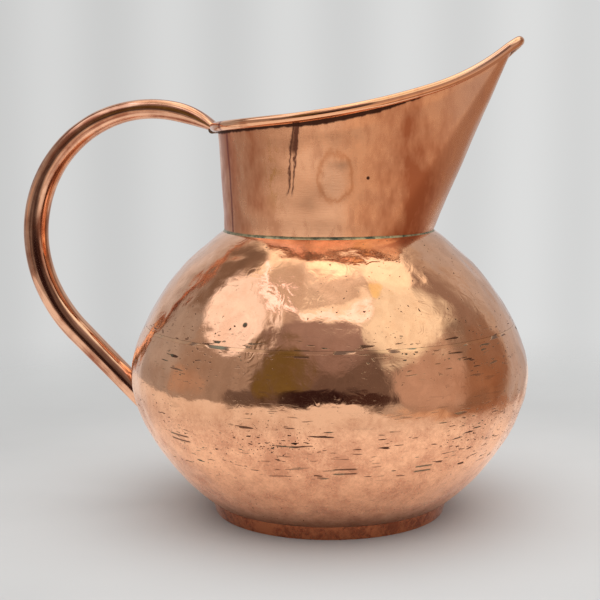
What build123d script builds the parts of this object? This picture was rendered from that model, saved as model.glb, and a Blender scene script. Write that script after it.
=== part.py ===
from build123d import *
import math
import os

# Antique copper jug, raised and brazed from sheet.
# Millimetres, +Z up. The jug's own axis is the Z axis while it is built, its
# foot stands on Z = 0, the spout points along +X and the handle along -X.
# At the end everything shifts along X, so that the origin lies under the
# middle of the whole jug.

# Body outline: three tangent arcs that meet at the belly
BELLY_RADIUS = 100.0
BELLY_HEIGHT = 70.7
BELLY_ARC = 42.35
SHOULDER_ARC = 107.6
SHOULDER_TURN = 17.8
BOWL_ARC = 97.2
BOWL_TURN = 17.7

# Copper sheet of the two body shells
BODY_SHEET = 1.1

# Base of the bowl, pushed up a little so that it never rocks
BASE_LIFT = 4.8
BASE_RISE = 2.5
KNUCKLE_RADIUS = 7.0

# Girth seam: the bowl is stepped in and laps inside the shoulder
GIRTH_HEIGHT = 97.0
GIRTH_LAP = 6.0
GIRTH_STEP = 1.6
LAP_GAP = 0.1

# Foot ring: a strip of thicker copper, a little wider at its top
FOOT_HEIGHT = 7.0
FOOT_STRIP = 1.7
FOOT_FLARE = 2.0
FOOT_EDGE_ROUND = 0.5

# Neck: one sheet, round where it joins and drawn out to a spout above
NECK_RADIUS = 52.1
NECK_SHEET = 0.9
NECK_BACK_LEAN = 3.2
SPOUT_LEAN = 23.4
SPOUT_NOSE_RADIUS = 2.5
CHEEK_ROOT = 1.5
COLLAR_HEIGHT = 6.0

# Rim line seen from the side: a slope, then two arcs up to the spout's tip
RIM_HEIGHT = 50.9
RIM_SLOPE = 5.26
RIM_BEND_BACK = 10.0
RIM_ARC = 281.0
RIM_TURN = 19.0
SPOUT_ARC = 95.0

# Wired edge: the sheet is rolled outwards over a round wire
RIM_WIRE_DIAMETER = 2.9
HEM_BORE_GAP = 0.05
HEM_TUCK = 0.15
HEM_SLIT = 0.3

# Handle: a tapering tube, a round bow above and a straight run below
BOW_RADIUS = 65.5
BOW_EASE_START = 205.0
BOW_EASE_RADIUS = 76.0
RUN_SLOPE = 44.0
TUBE_DIAMETER = 13.2
TUBE_WALL = 1.0
TAPER_START = 170.0
TAPER_END = 78.0
TAPER_END_DIAMETER = 10.0
TIP_ANGLE = 58.5
TIP_SETBACK = 2.1
TIP_DROP = 0.35
BORE_END = 66.0
TAPER_STEPS = 10
TIP_THICKNESS = 4.4
TIP_WIDTH = 12.8

# Solder and the clearances that it fills
SOLDER_GAP = 0.05
NECK_BRAZE = 1.1
FOOT_SOLDER = 1.8
HANDLE_SOLDER = 1.3
TIP_SOLDER = 4.0
TIP_SOLDER_WIDTH = 10.2

# How far cutting bodies reach past what they cut
OVERCUT = 20.0


# Body outline, as a function of the angle of its outward normal
BELLY_CENTRE = (BELLY_RADIUS - BELLY_ARC, BELLY_HEIGHT)


def arc_centre(radius, turn):
    """Centre of an arc that leaves the belly arc where its normal has turned this far."""
    step = BELLY_ARC - radius
    a = math.radians(turn)
    return (BELLY_CENTRE[0] + step * math.cos(a), BELLY_CENTRE[1] + step * math.sin(a))


SHOULDER_CENTRE = arc_centre(SHOULDER_ARC, SHOULDER_TURN)
BOWL_CENTRE = arc_centre(BOWL_ARC, -BOWL_TURN)


def arc_at(angle):
    """Centre and radius of the outline's arc at this normal angle."""
    if angle > SHOULDER_TURN:
        return SHOULDER_CENTRE, SHOULDER_ARC
    if angle < -BOWL_TURN:
        return BOWL_CENTRE, BOWL_ARC
    return BELLY_CENTRE, BELLY_ARC


def skin_point(angle, depth):
    """Point of the outline at a normal angle, this deep below the outer face."""
    centre, radius = arc_at(angle)
    a = math.radians(angle)
    reach = radius - depth
    return (centre[0] + reach * math.cos(a), centre[1] + reach * math.sin(a))


def skin_edges(start, end, depth):
    """Arcs of the outline between two normal angles, this deep below the outer face."""
    low, high = min(start, end), max(start, end)
    breaks = [a for a in (-BOWL_TURN, SHOULDER_TURN) if low < a < high]
    stops = [low] + breaks + [high]
    edges = []
    for a, b in zip(stops[:-1], stops[1:]):
        middle = (a + b) / 2
        centre, radius = arc_at(middle)
        edges.append(CenterArc(centre, radius - depth, a, b - a))
    return edges


def shoulder_angle_at_height(height):
    """Normal angle where the shoulder's outer face reaches a height."""
    return math.degrees(math.asin((height - SHOULDER_CENTRE[1]) / SHOULDER_ARC))


def shoulder_height_at_radius(radius):
    """Height of the shoulder's outer face at a radius."""
    return SHOULDER_CENTRE[1] + math.sqrt(SHOULDER_ARC**2 - (radius - SHOULDER_CENTRE[0]) ** 2)


def bowl_radius_at_height(height):
    """Radius of the bowl's outer face at a height."""
    return BOWL_CENTRE[0] + math.sqrt(BOWL_ARC**2 - (height - BOWL_CENTRE[1]) ** 2)


def ring(edges):
    """Solid of revolution about the jug's axis from a closed outline in radius and height."""
    face = make_face(Curve() + edges)
    return revolve(Plane.XZ * face, Axis.Z)


def polygon_ring(points):
    """Ring with a straight-sided section."""
    return ring([Polyline(*points, close=True)])


# Knuckle between the bowl and its base: tangent to the bowl's arc and to the base
KNUCKLE_HEIGHT = BASE_LIFT + KNUCKLE_RADIUS
KNUCKLE_OUT = BOWL_CENTRE[0] + math.sqrt(
    (BOWL_ARC - KNUCKLE_RADIUS) ** 2 - (KNUCKLE_HEIGHT - BOWL_CENTRE[1]) ** 2
)
KNUCKLE_ANGLE = math.degrees(
    math.atan2(KNUCKLE_HEIGHT - BOWL_CENTRE[1], KNUCKLE_OUT - BOWL_CENTRE[0])
)

# Angles along the girth seam
GIRTH_ANGLE = shoulder_angle_at_height(GIRTH_HEIGHT)
STEP_ANGLE = math.degrees(GIRTH_STEP / SHOULDER_ARC)
LAP_ANGLE = math.degrees(GIRTH_LAP / SHOULDER_ARC)
GAP_ANGLE = math.degrees(SOLDER_GAP / SHOULDER_ARC)

# The neck stands on the shoulder where the collar turns up inside it
NECK_SEAM = shoulder_height_at_radius(NECK_RADIUS)
COLLAR_RADIUS = NECK_RADIUS - NECK_SHEET - SOLDER_GAP
COLLAR_ROOT = shoulder_height_at_radius(COLLAR_RADIUS)
NECK_FOOT = COLLAR_ROOT + SOLDER_GAP


def base_edges(depth):
    """Base and knuckle from the axis outwards, this deep below the outer face."""
    rim = KNUCKLE_OUT
    floor = BASE_LIFT + depth
    dome = (rim**2 + BASE_RISE**2) / (2 * BASE_RISE)
    middle = floor + BASE_RISE - dome + math.sqrt(dome**2 - (rim / 2) ** 2)
    panel = ThreePointArc((0, floor + BASE_RISE), (rim / 2, middle), (rim, floor))
    bend = CenterArc((rim, KNUCKLE_HEIGHT), KNUCKLE_RADIUS - depth, -90, 90 + KNUCKLE_ANGLE)
    return [panel, bend]


def make_bowl():
    """Lower shell: base, bowl and the stepped edge that laps inside the shoulder."""
    inset = BODY_SHEET + LAP_GAP
    step_start = GIRTH_ANGLE - STEP_ANGLE
    edge = GIRTH_ANGLE + LAP_ANGLE
    edges = base_edges(0)
    edges += skin_edges(KNUCKLE_ANGLE, step_start, 0)
    edges += [Line(skin_point(step_start, 0), skin_point(GIRTH_ANGLE, inset))]
    edges += skin_edges(GIRTH_ANGLE, edge, inset)
    edges += [Line(skin_point(edge, inset), skin_point(edge, inset + BODY_SHEET))]
    edges += skin_edges(GIRTH_ANGLE, edge, inset + BODY_SHEET)
    edges += [Line(skin_point(GIRTH_ANGLE, inset + BODY_SHEET), skin_point(step_start, BODY_SHEET))]
    edges += skin_edges(KNUCKLE_ANGLE, step_start, BODY_SHEET)
    edges += base_edges(BODY_SHEET)
    crown = BASE_LIFT + BASE_RISE
    edges += [Line((0, crown), (0, crown + BODY_SHEET))]
    return ring(edges)


def make_shoulder():
    """Upper shell, from the girth seam to the collar that stands up inside the neck."""
    low = GIRTH_ANGLE + GAP_ANGLE
    high = shoulder_angle_at_height(COLLAR_ROOT)
    inside = COLLAR_RADIUS - BODY_SHEET
    inner_arc = SHOULDER_ARC - BODY_SHEET
    inner_high = math.degrees(math.acos((inside - SHOULDER_CENTRE[0]) / inner_arc))
    top = COLLAR_ROOT + COLLAR_HEIGHT
    edges = skin_edges(low, high, 0)
    root = skin_point(high, 0)
    inner_root = skin_point(inner_high, BODY_SHEET)
    edges += [Polyline(root, (COLLAR_RADIUS, top), (inside, top), inner_root)]
    edges += skin_edges(low, inner_high, BODY_SHEET)
    edges += [Line(skin_point(low, BODY_SHEET), skin_point(low, 0))]
    return ring(edges)


def make_girth_braze():
    """Brass line that fills the step of the girth seam, flush with the copper."""
    start = GIRTH_ANGLE - STEP_ANGLE + GAP_ANGLE
    end = GIRTH_ANGLE
    return polygon_ring(
        [
            skin_point(start, 0),
            skin_point(end - GAP_ANGLE, 0),
            skin_point(end - GAP_ANGLE, BODY_SHEET - SOLDER_GAP),
        ]
    )


def make_foot_ring():
    """Strip bent to a ring, trimmed to the underside of the bowl, with a rounded lower edge."""
    top = bowl_radius_at_height(FOOT_HEIGHT)
    bottom = top - FOOT_FLARE
    slope = FOOT_FLARE / FOOT_HEIGHT
    reach = FOOT_HEIGHT + KNUCKLE_RADIUS
    strip = Polyline(
        (bottom, 0),
        (bottom + slope * reach, reach),
        (bottom + slope * reach - FOOT_STRIP, reach),
        (bottom - FOOT_STRIP, 0),
        close=True,
    )
    blank = ring([strip])
    edges = blank.edges().group_by(Axis.Z)[0]
    return fillet(edges, FOOT_EDGE_ROUND) - bowl_form(SOLDER_GAP)


def bowl_form(grow):
    """Solid form of the lower body, grown by a clearance, to trim pieces that seat on it."""
    crown = BASE_LIFT + BASE_RISE - grow
    edges = base_edges(-grow)
    edges += skin_edges(KNUCKLE_ANGLE, GIRTH_ANGLE, -grow)
    side = skin_point(GIRTH_ANGLE, -grow)
    edges += [Polyline(side, (0, side[1]), (0, crown))]
    return ring(edges)


def make_foot_solder():
    """Fillet of solder in the corner between the foot strip and the base, inside the foot."""
    top = bowl_radius_at_height(FOOT_HEIGHT)
    slope = FOOT_FLARE / FOOT_HEIGHT
    face = top - FOOT_FLARE - FOOT_STRIP - SOLDER_GAP
    low = BASE_LIFT - FOOT_SOLDER / 2
    high = BASE_LIFT + FOOT_SOLDER
    blank = polygon_ring(
        [
            (face + slope * low, low),
            (face + slope * high, high),
            (face - FOOT_SOLDER, high),
            (face - FOOT_SOLDER, BASE_LIFT - SOLDER_GAP),
        ]
    )
    return blank - bowl_form(SOLDER_GAP)


# Side view of the rim: the height of the hem's centre line along X
RIM_BACK = NECK_SEAM + RIM_HEIGHT
RIM_FOOT = -(NECK_RADIUS + RIM_HEIGHT * math.tan(math.radians(NECK_BACK_LEAN)))


def rim_bends():
    """Start, end and centre of the rim's first arc, and the centre of its second."""
    slope = math.radians(RIM_SLOPE)
    turn = math.radians(RIM_TURN)
    start = (-RIM_BEND_BACK, RIM_BACK + math.tan(slope) * (-RIM_BEND_BACK - RIM_FOOT))
    centre = (start[0] - RIM_ARC * math.sin(slope), start[1] + RIM_ARC * math.cos(slope))
    end = (centre[0] + RIM_ARC * math.sin(turn), centre[1] - RIM_ARC * math.cos(turn))
    second = (end[0] - SPOUT_ARC * math.sin(turn), end[1] + SPOUT_ARC * math.cos(turn))
    return start, end, centre, second


RIM_START, RIM_END, RIM_CENTRE, SPOUT_CENTRE = rim_bends()


def rim_height_at(x):
    """Height of the hem's centre line at a place along the jug."""
    if x < RIM_START[0]:
        return RIM_START[1] - math.tan(math.radians(RIM_SLOPE)) * (RIM_START[0] - x)
    if x < RIM_END[0]:
        return RIM_CENTRE[1] - math.sqrt(RIM_ARC**2 - (x - RIM_CENTRE[0]) ** 2)
    return SPOUT_CENTRE[1] - math.sqrt(SPOUT_ARC**2 - (x - SPOUT_CENTRE[0]) ** 2)


def spout_tip():
    """Where the spout's front line meets the rim line."""
    x = NECK_RADIUS
    for _ in range(60):
        x = NECK_RADIUS + math.tan(math.radians(SPOUT_LEAN)) * (rim_height_at(x) - NECK_SEAM)
    return x, rim_height_at(x)


TIP_OUT, TIP_HEIGHT = spout_tip()

# The neck is laid out as a taller cone first and then trimmed to the rim line
NECK_BLANK = TIP_HEIGHT + NECK_SHEET * 4 - NECK_SEAM
BACK_TOP_RADIUS = NECK_RADIUS + NECK_BLANK * math.tan(math.radians(NECK_BACK_LEAN))
NOSE_TOP_OUT = NECK_RADIUS + NECK_BLANK * math.tan(math.radians(SPOUT_LEAN)) - SPOUT_NOSE_RADIUS
CHEEK_ANGLE = math.degrees(math.acos((BACK_TOP_RADIUS - SPOUT_NOSE_RADIUS) / NOSE_TOP_OUT))


def polar(centre, radius, angle):
    a = math.radians(angle)
    return (centre + radius * math.cos(a), radius * math.sin(a))


def neck_form(grow, base=0.0):
    """The neck's untrimmed form: a round base drawn out to a teardrop, with flat cheeks."""
    r = NECK_RADIUS + grow
    big = BACK_TOP_RADIUS + grow
    nose = SPOUT_NOSE_RADIUS + grow
    root = CHEEK_ROOT
    cheek = CHEEK_ANGLE
    back_sweep = 360 - 2 * cheek
    lower = Plane.XY.offset(NECK_SEAM)
    upper = Plane.XY.offset(NECK_SEAM + NECK_BLANK)
    round_base = Wire(
        [
            CenterArc((0, 0), r, cheek + root, back_sweep - 2 * root),
            CenterArc((0, 0), r, -cheek - root, 2 * root),
            CenterArc((0, 0), r, -cheek + root, 2 * cheek - 2 * root),
            CenterArc((0, 0), r, cheek - root, 2 * root),
        ]
    )
    teardrop = Wire(
        [
            CenterArc((0, 0), big, cheek, back_sweep),
            Line(polar(0, big, -cheek), polar(NOSE_TOP_OUT, nose, -cheek)),
            CenterArc((NOSE_TOP_OUT, 0), nose, -cheek, 2 * cheek),
            Line(polar(NOSE_TOP_OUT, nose, cheek), polar(0, big, cheek)),
        ]
    )
    solid = Solid.make_loft([lower * round_base, upper * teardrop], ruled=True)
    if base:
        box = Box(4 * r, 4 * r, base, align=(Align.CENTER, Align.CENTER, Align.MIN))
        solid = solid - Pos(0, 0, NECK_SEAM) * box
    return solid


def above_rim(drop):
    """Everything above the rim line, lowered by a drop."""
    left = (RIM_FOOT - OVERCUT, rim_height_at(RIM_FOOT - OVERCUT) - drop)
    right_x = TIP_OUT + OVERCUT / 2
    right = (right_x, rim_height_at(right_x) - drop)
    start = (RIM_START[0], RIM_START[1] - drop)
    end = (RIM_END[0], RIM_END[1] - drop)
    middle_x = (start[0] + end[0]) / 2
    middle = (middle_x, rim_height_at(middle_x) - drop)
    spout_x = (end[0] + right_x) / 2
    spout = (spout_x, rim_height_at(spout_x) - drop)
    roof = right[1] + OVERCUT
    edges = [
        Line(left, start),
        ThreePointArc(start, middle, end),
        ThreePointArc(end, spout, right),
        Polyline(right, (right[0], roof), (left[0], roof), left),
    ]
    face = Plane.XZ * make_face(Curve() + edges)
    return extrude(face, amount=BELLY_RADIUS, both=True)


# Hem: its centre line runs beside the wall's outer face all round the rim
HEM_BORE = RIM_WIRE_DIAMETER / 2 + HEM_BORE_GAP
HEM_RADIUS = HEM_BORE + NECK_SHEET
HEM_OFFSET = HEM_BORE - HEM_TUCK
# Points of half the hem's centre line on the back, the cheek and the nose
HEM_BACK_STEPS = 9
HEM_CHEEK_STEPS = 4
HEM_NOSE_STEPS = 4
# Sections of the bar along half the hem, closer together towards the spout's tip
HEM_SECTIONS = 18
HEM_GRADING = 1.8


def hem_point(low, high, angle):
    """Point of the hem's centre line beside the ruling between two points of the neck."""
    a = math.radians(angle)
    reach = (high[0] - low[0]) * math.cos(a) + (high[1] - low[1]) * math.sin(a)
    lean = math.atan2(reach, NECK_BLANK)
    share = 0.5
    for _ in range(40):
        x = low[0] + (high[0] - low[0]) * share
        share = (rim_height_at(x) - NECK_SEAM) / NECK_BLANK
    y = low[1] + (high[1] - low[1]) * share
    out = HEM_OFFSET * math.cos(lean)
    height = rim_height_at(x) - HEM_OFFSET * math.sin(lean)
    return (x + out * math.cos(a), y + out * math.sin(a), height)


def hem_points():
    """Points of half the hem's centre line, from the back of the jug to the spout's tip."""
    points = []
    for i in range(HEM_BACK_STEPS):
        angle = 180 + (180 - CHEEK_ANGLE) * i / HEM_BACK_STEPS
        points.append(hem_point(polar(0, NECK_RADIUS, angle), polar(0, BACK_TOP_RADIUS, angle), angle))
    root = polar(0, NECK_RADIUS, -CHEEK_ANGLE)
    start = polar(0, BACK_TOP_RADIUS, -CHEEK_ANGLE)
    end = polar(NOSE_TOP_OUT, SPOUT_NOSE_RADIUS, -CHEEK_ANGLE)
    for i in range(HEM_CHEEK_STEPS):
        share = i / HEM_CHEEK_STEPS
        high = (start[0] + (end[0] - start[0]) * share, start[1] + (end[1] - start[1]) * share)
        points.append(hem_point(root, high, -CHEEK_ANGLE))
    for i in range(HEM_NOSE_STEPS + 1):
        angle = -CHEEK_ANGLE * (1 - i / HEM_NOSE_STEPS)
        high = polar(NOSE_TOP_OUT, SPOUT_NOSE_RADIUS, angle)
        points.append(hem_point(polar(0, NECK_RADIUS, angle), high, angle))
    return points


def rim_tube(radius):
    """Round bar of a radius along the whole hem, made as one half and its mirror image."""
    points = hem_points()
    other_side = [(x, -y, z) for x, y, z in points[-2:0:-1]]
    path = Spline(*points, *other_side, periodic=True)
    sections = [hem_section(points[0], (0, -1, 0), radius)]
    for i in range(1, HEM_SECTIONS):
        place = (1 - (1 - i / HEM_SECTIONS) ** HEM_GRADING) / 2
        sections.append(hem_section(path @ place, path % place, radius))
    sections.append(hem_section(points[-1], (0, 1, 0), radius))
    half = loft(sections)
    return half + mirror(half, about=Plane.XZ)


def hem_section(point, along, radius):
    """Round section across the hem at a point of its centre line."""
    out = Vector(*along).cross(Vector(0, 0, 1))
    return Plane(point, x_dir=out, z_dir=along) * Circle(radius)


def make_neck():
    """Neck sheet: drawn out to the spout, trimmed to the rim line and rolled over the wire."""
    foot = NECK_FOOT - NECK_SEAM
    wall = neck_form(0, foot) - neck_form(-NECK_SHEET) - above_rim(0)
    bead = rim_tube(HEM_RADIUS)
    bore = rim_tube(HEM_BORE)
    slit = neck_form(HEM_TUCK + HEM_SLIT) - neck_form(HEM_TUCK)
    slit = slit - above_rim(HEM_BORE / 2)
    slit = slit & above_rim(HEM_RADIUS * 1.5)
    return wall + bead - bore - slit


def make_rim_wire():
    """Round wire that stiffens the rolled edge."""
    return rim_tube(RIM_WIRE_DIAMETER / 2)


def make_neck_braze():
    """Line of brazing in the corner where the neck stands on the shoulder."""
    middle = NECK_RADIUS - NECK_SHEET / 2
    outer = NECK_RADIUS + NECK_BRAZE
    blank = polygon_ring(
        [
            (middle, shoulder_height_at_radius(middle) + SOLDER_GAP),
            (outer, shoulder_height_at_radius(outer) + SOLDER_GAP),
            (NECK_RADIUS, NECK_FOOT + NECK_BRAZE),
            (middle, NECK_FOOT - SOLDER_GAP / 2),
        ]
    )
    return blank - neck_form(SOLDER_GAP, NECK_FOOT - NECK_SEAM - SOLDER_GAP)


def bow_centre():
    """Centre of the handle's bow, set so that the pinched tip lands on the back of the hem."""
    hem = hem_points()[0]
    a = math.radians(TIP_ANGLE)
    tip = (hem[0] - TIP_SETBACK, hem[2] - TIP_DROP)
    return (tip[0] - BOW_RADIUS * math.cos(a), tip[1] - BOW_RADIUS * math.sin(a))


# Handle: centre line in the plane Y = 0
BOW_CENTRE = bow_centre()
RUN_ANGLE = 270 - RUN_SLOPE


def bow_point(angle):
    a = math.radians(angle)
    return (BOW_CENTRE[0] + BOW_RADIUS * math.cos(a), BOW_CENTRE[1] + BOW_RADIUS * math.sin(a))


def ease_centre():
    a = math.radians(BOW_EASE_START)
    step = BOW_RADIUS - BOW_EASE_RADIUS
    return (BOW_CENTRE[0] + step * math.cos(a), BOW_CENTRE[1] + step * math.sin(a))


def run_start():
    a = math.radians(RUN_ANGLE)
    centre = ease_centre()
    return (centre[0] + BOW_EASE_RADIUS * math.cos(a), centre[1] + BOW_EASE_RADIUS * math.sin(a))


RUN_DIRECTION = (math.cos(math.radians(RUN_SLOPE)), -math.sin(math.radians(RUN_SLOPE)))


def run_point(length):
    start = run_start()
    return (start[0] + RUN_DIRECTION[0] * length, start[1] + RUN_DIRECTION[1] * length)


def run_length():
    """Length of the straight run up to the place where its axis meets the body."""
    low, high = 0.0, 2 * BELLY_RADIUS
    for _ in range(60):
        length = (low + high) / 2
        x, z = run_point(length)
        if depth_in_body(-x, z) < 0:
            low = length
        else:
            high = length
    return length


def depth_in_body(radius, height):
    """How far a point lies inside the body's outer face, by the arc that its direction meets."""
    for centre, arc, turn in ((SHOULDER_CENTRE, SHOULDER_ARC, 1), (BOWL_CENTRE, BOWL_ARC, -1)):
        angle = math.degrees(math.atan2(height - centre[1], radius - centre[0])) * turn
        if angle > (SHOULDER_TURN if turn > 0 else BOWL_TURN):
            return arc - math.dist((radius, height), centre)
    return BELLY_ARC - math.dist((radius, height), BELLY_CENTRE)


def tube_bar(diameter, extra):
    """Solid bar along the constant part of the handle, run on past the body's face."""
    lower_end = run_point(run_length() + extra)
    path = Plane.XZ * (
        Curve()
        + [
            CenterArc(BOW_CENTRE, BOW_RADIUS, TAPER_START, BOW_EASE_START - TAPER_START),
            CenterArc(ease_centre(), BOW_EASE_RADIUS, BOW_EASE_START, RUN_ANGLE - BOW_EASE_START),
            Line(run_point(0), lower_end),
        ]
    )
    wire = Wire(path.edges())
    section = bow_plane(TAPER_START) * Circle(diameter / 2)
    return sweep(section, path=wire)


def bow_plane(angle):
    """Plane across the handle at an angle of its bow, with its Y axis out of the bow."""
    a = math.radians(angle)
    x, z = bow_point(angle)
    return Plane((x, 0, z), x_dir=(0, 1, 0), z_dir=(-math.sin(a), 0, math.cos(a)))


def taper_size(angle):
    """Thickness and width of the handle at an angle of its bow above the taper's start."""
    share = (TAPER_START - angle) / (TAPER_START - TAPER_END)
    if share <= 1:
        size = TUBE_DIAMETER + (TAPER_END_DIAMETER - TUBE_DIAMETER) * share * share * (3 - 2 * share)
        return size, size
    share = (TAPER_END - angle) / (TAPER_END - TIP_ANGLE)
    thick = TAPER_END_DIAMETER + (TIP_THICKNESS - TAPER_END_DIAMETER) * share * share
    wide = TAPER_END_DIAMETER + (TIP_WIDTH - TAPER_END_DIAMETER) * share * share
    return thick, wide


def taper_bar(inset, end):
    """Smooth bar along the taper up to an end angle, smaller all round by an inset."""
    faces = []
    for i in range(TAPER_STEPS + 1):
        angle = TAPER_START + (end - TAPER_START) * i / TAPER_STEPS
        thick, wide = taper_size(angle)
        faces.append(bow_plane(angle) * Ellipse(wide / 2 - inset, thick / 2 - inset))
    return loft(faces)


def make_handle():
    """Hollow handle: bent tube, tapered above, pinched shut at its tip, mitred to the belly."""
    outer = tube_bar(TUBE_DIAMETER, OVERCUT) + taper_bar(0, TIP_ANGLE)
    inner = tube_bar(TUBE_DIAMETER - 2 * TUBE_WALL, OVERCUT) + taper_bar(TUBE_WALL, BORE_END)
    return outer - inner - bowl_form(SOLDER_GAP) - rim_tube(HEM_RADIUS + SOLDER_GAP)


def make_handle_base_solder():
    """Collar of solder on the belly round the mitred end of the handle."""
    x, z = run_point(run_length())
    axis = Plane((x, 0, z), z_dir=(RUN_DIRECTION[0], 0, RUN_DIRECTION[1]))
    reach = TUBE_DIAMETER * 3
    outer = axis * Cylinder(TUBE_DIAMETER / 2 + HANDLE_SOLDER, reach)
    bore = axis * Cylinder(TUBE_DIAMETER / 2 + SOLDER_GAP, 2 * reach)
    return (outer & bowl_form(HANDLE_SOLDER)) - bowl_form(SOLDER_GAP) - bore


def make_handle_top_solder():
    """Solder that joins the pinched tip to the back of the rolled rim."""
    hem = hem_points()[0]
    middle = (hem[0] - HEM_RADIUS, hem[2] - HEM_RADIUS / 2)
    blank = Cylinder(TIP_SOLDER / 2, TIP_SOLDER_WIDTH, rotation=(90, 0, 0))
    tip = taper_bar(-SOLDER_GAP, TIP_ANGLE)
    blank = Pos(middle[0], 0, middle[1]) * blank
    return blank - rim_tube(HEM_RADIUS + SOLDER_GAP) - tip - neck_form(SOLDER_GAP)


def main():
    os.makedirs("parts", exist_ok=True)
    nodes = {
        "bowl": make_bowl(),
        "shoulder": make_shoulder(),
        "girth_braze": make_girth_braze(),
        "foot_ring": make_foot_ring(),
        "foot_solder": make_foot_solder(),
        "neck": make_neck(),
        "rim_wire": make_rim_wire(),
        "neck_braze": make_neck_braze(),
        "handle": make_handle(),
        "handle_base_solder": make_handle_base_solder(),
        "handle_top_solder": make_handle_top_solder(),
    }
    box = Compound([s for n in nodes.values() for s in n.solids()]).bounding_box()
    shift = Pos(-(box.min.X + box.max.X) / 2, 0, 0)
    for name, shape in nodes.items():
        solids = shape.solids()
        piece = solids[0] if len(solids) == 1 else Compound(solids)
        export_step(shift * piece, f"parts/{name}.step")


main()
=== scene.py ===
import math

import bpy
import numpy as np
from bpy.props import FloatProperty, FloatVectorProperty, IntProperty, PointerProperty
from mathutils import Matrix, Vector


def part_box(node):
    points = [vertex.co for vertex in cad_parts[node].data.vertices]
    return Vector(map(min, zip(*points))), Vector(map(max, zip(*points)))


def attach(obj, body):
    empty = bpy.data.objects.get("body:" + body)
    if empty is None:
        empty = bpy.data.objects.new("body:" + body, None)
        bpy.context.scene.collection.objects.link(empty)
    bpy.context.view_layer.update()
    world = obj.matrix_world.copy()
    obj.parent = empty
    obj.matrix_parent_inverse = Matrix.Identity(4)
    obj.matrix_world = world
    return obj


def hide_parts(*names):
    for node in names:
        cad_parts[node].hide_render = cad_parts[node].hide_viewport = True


bl_info = {
    "name": "Copper jug",
    "version": (1, 0, 0),
    "blender": (4, 5, 0),
    "location": "3D View > Sidebar > Jug",
    "description": "An antique copper jug, beaten and brazed from sheet, on a pale table",
    "category": "Object",
}

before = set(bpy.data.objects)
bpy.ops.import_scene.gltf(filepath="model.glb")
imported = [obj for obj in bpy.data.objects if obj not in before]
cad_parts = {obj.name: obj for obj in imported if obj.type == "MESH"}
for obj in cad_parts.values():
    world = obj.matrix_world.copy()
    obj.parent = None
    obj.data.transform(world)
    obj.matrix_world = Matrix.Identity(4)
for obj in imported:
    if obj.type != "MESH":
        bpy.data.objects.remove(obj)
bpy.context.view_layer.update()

# The jug's own axis stands at this place along X; the spout points along +X
AXIS_X = (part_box("shoulder")[0].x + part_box("shoulder")[1].x) / 2
AXIS = Vector((AXIS_X, 0, 0))


# Node trees


class Field:
    """One output of a node, with arithmetic that adds Math nodes to its tree."""

    def __init__(self, tree, socket):
        self.tree = tree
        self.socket = socket

    def math(self, operation, *others):
        """The result of a Math node that has this value as its first input."""
        values = dict(enumerate((self,) + others))
        return self.tree.node("ShaderNodeMath", {"operation": operation}, values)[0]

    def __add__(self, other):
        return self.math("ADD", other)

    def __mul__(self, other):
        return self.math("MULTIPLY", other)

    def __sub__(self, other):
        return self.math("SUBTRACT", other)

    def __truediv__(self, other):
        return self.math("DIVIDE", other)

    def __rsub__(self, other):
        return self * -1 + other

    def __pow__(self, other):
        return self.math("POWER", other)

    __radd__ = __add__
    __rmul__ = __mul__

    def step(self, low, high):
        """A smooth step from 0 at low to 1 at high; low may be the larger of the two."""
        settings = {"interpolation_type": "SMOOTHSTEP"}
        if low < high:
            ends = {"From Min": low, "From Max": high, "To Min": 0.0, "To Max": 1.0}
        else:
            ends = {"From Min": high, "From Max": low, "To Min": 1.0, "To Max": 0.0}
        return self.tree.node("ShaderNodeMapRange", settings, {"Value": self, **ends})["Result"]

    def bell(self, centre, width):
        """A smooth bump of height 1 round a centre value."""
        away = (self - centre) / width
        return (away * away * -1).math("EXPONENT")

    def clamp(self):
        """The value kept between 0 and 1."""
        return self.tree.node("ShaderNodeClamp", {}, {"Value": self})[0]


class Outputs:
    """The outputs of one node, each given as a Field."""

    def __init__(self, tree, node):
        self.tree = tree
        self.node = node

    def __getitem__(self, key):
        return Field(self.tree, self.node.outputs[key])


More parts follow.
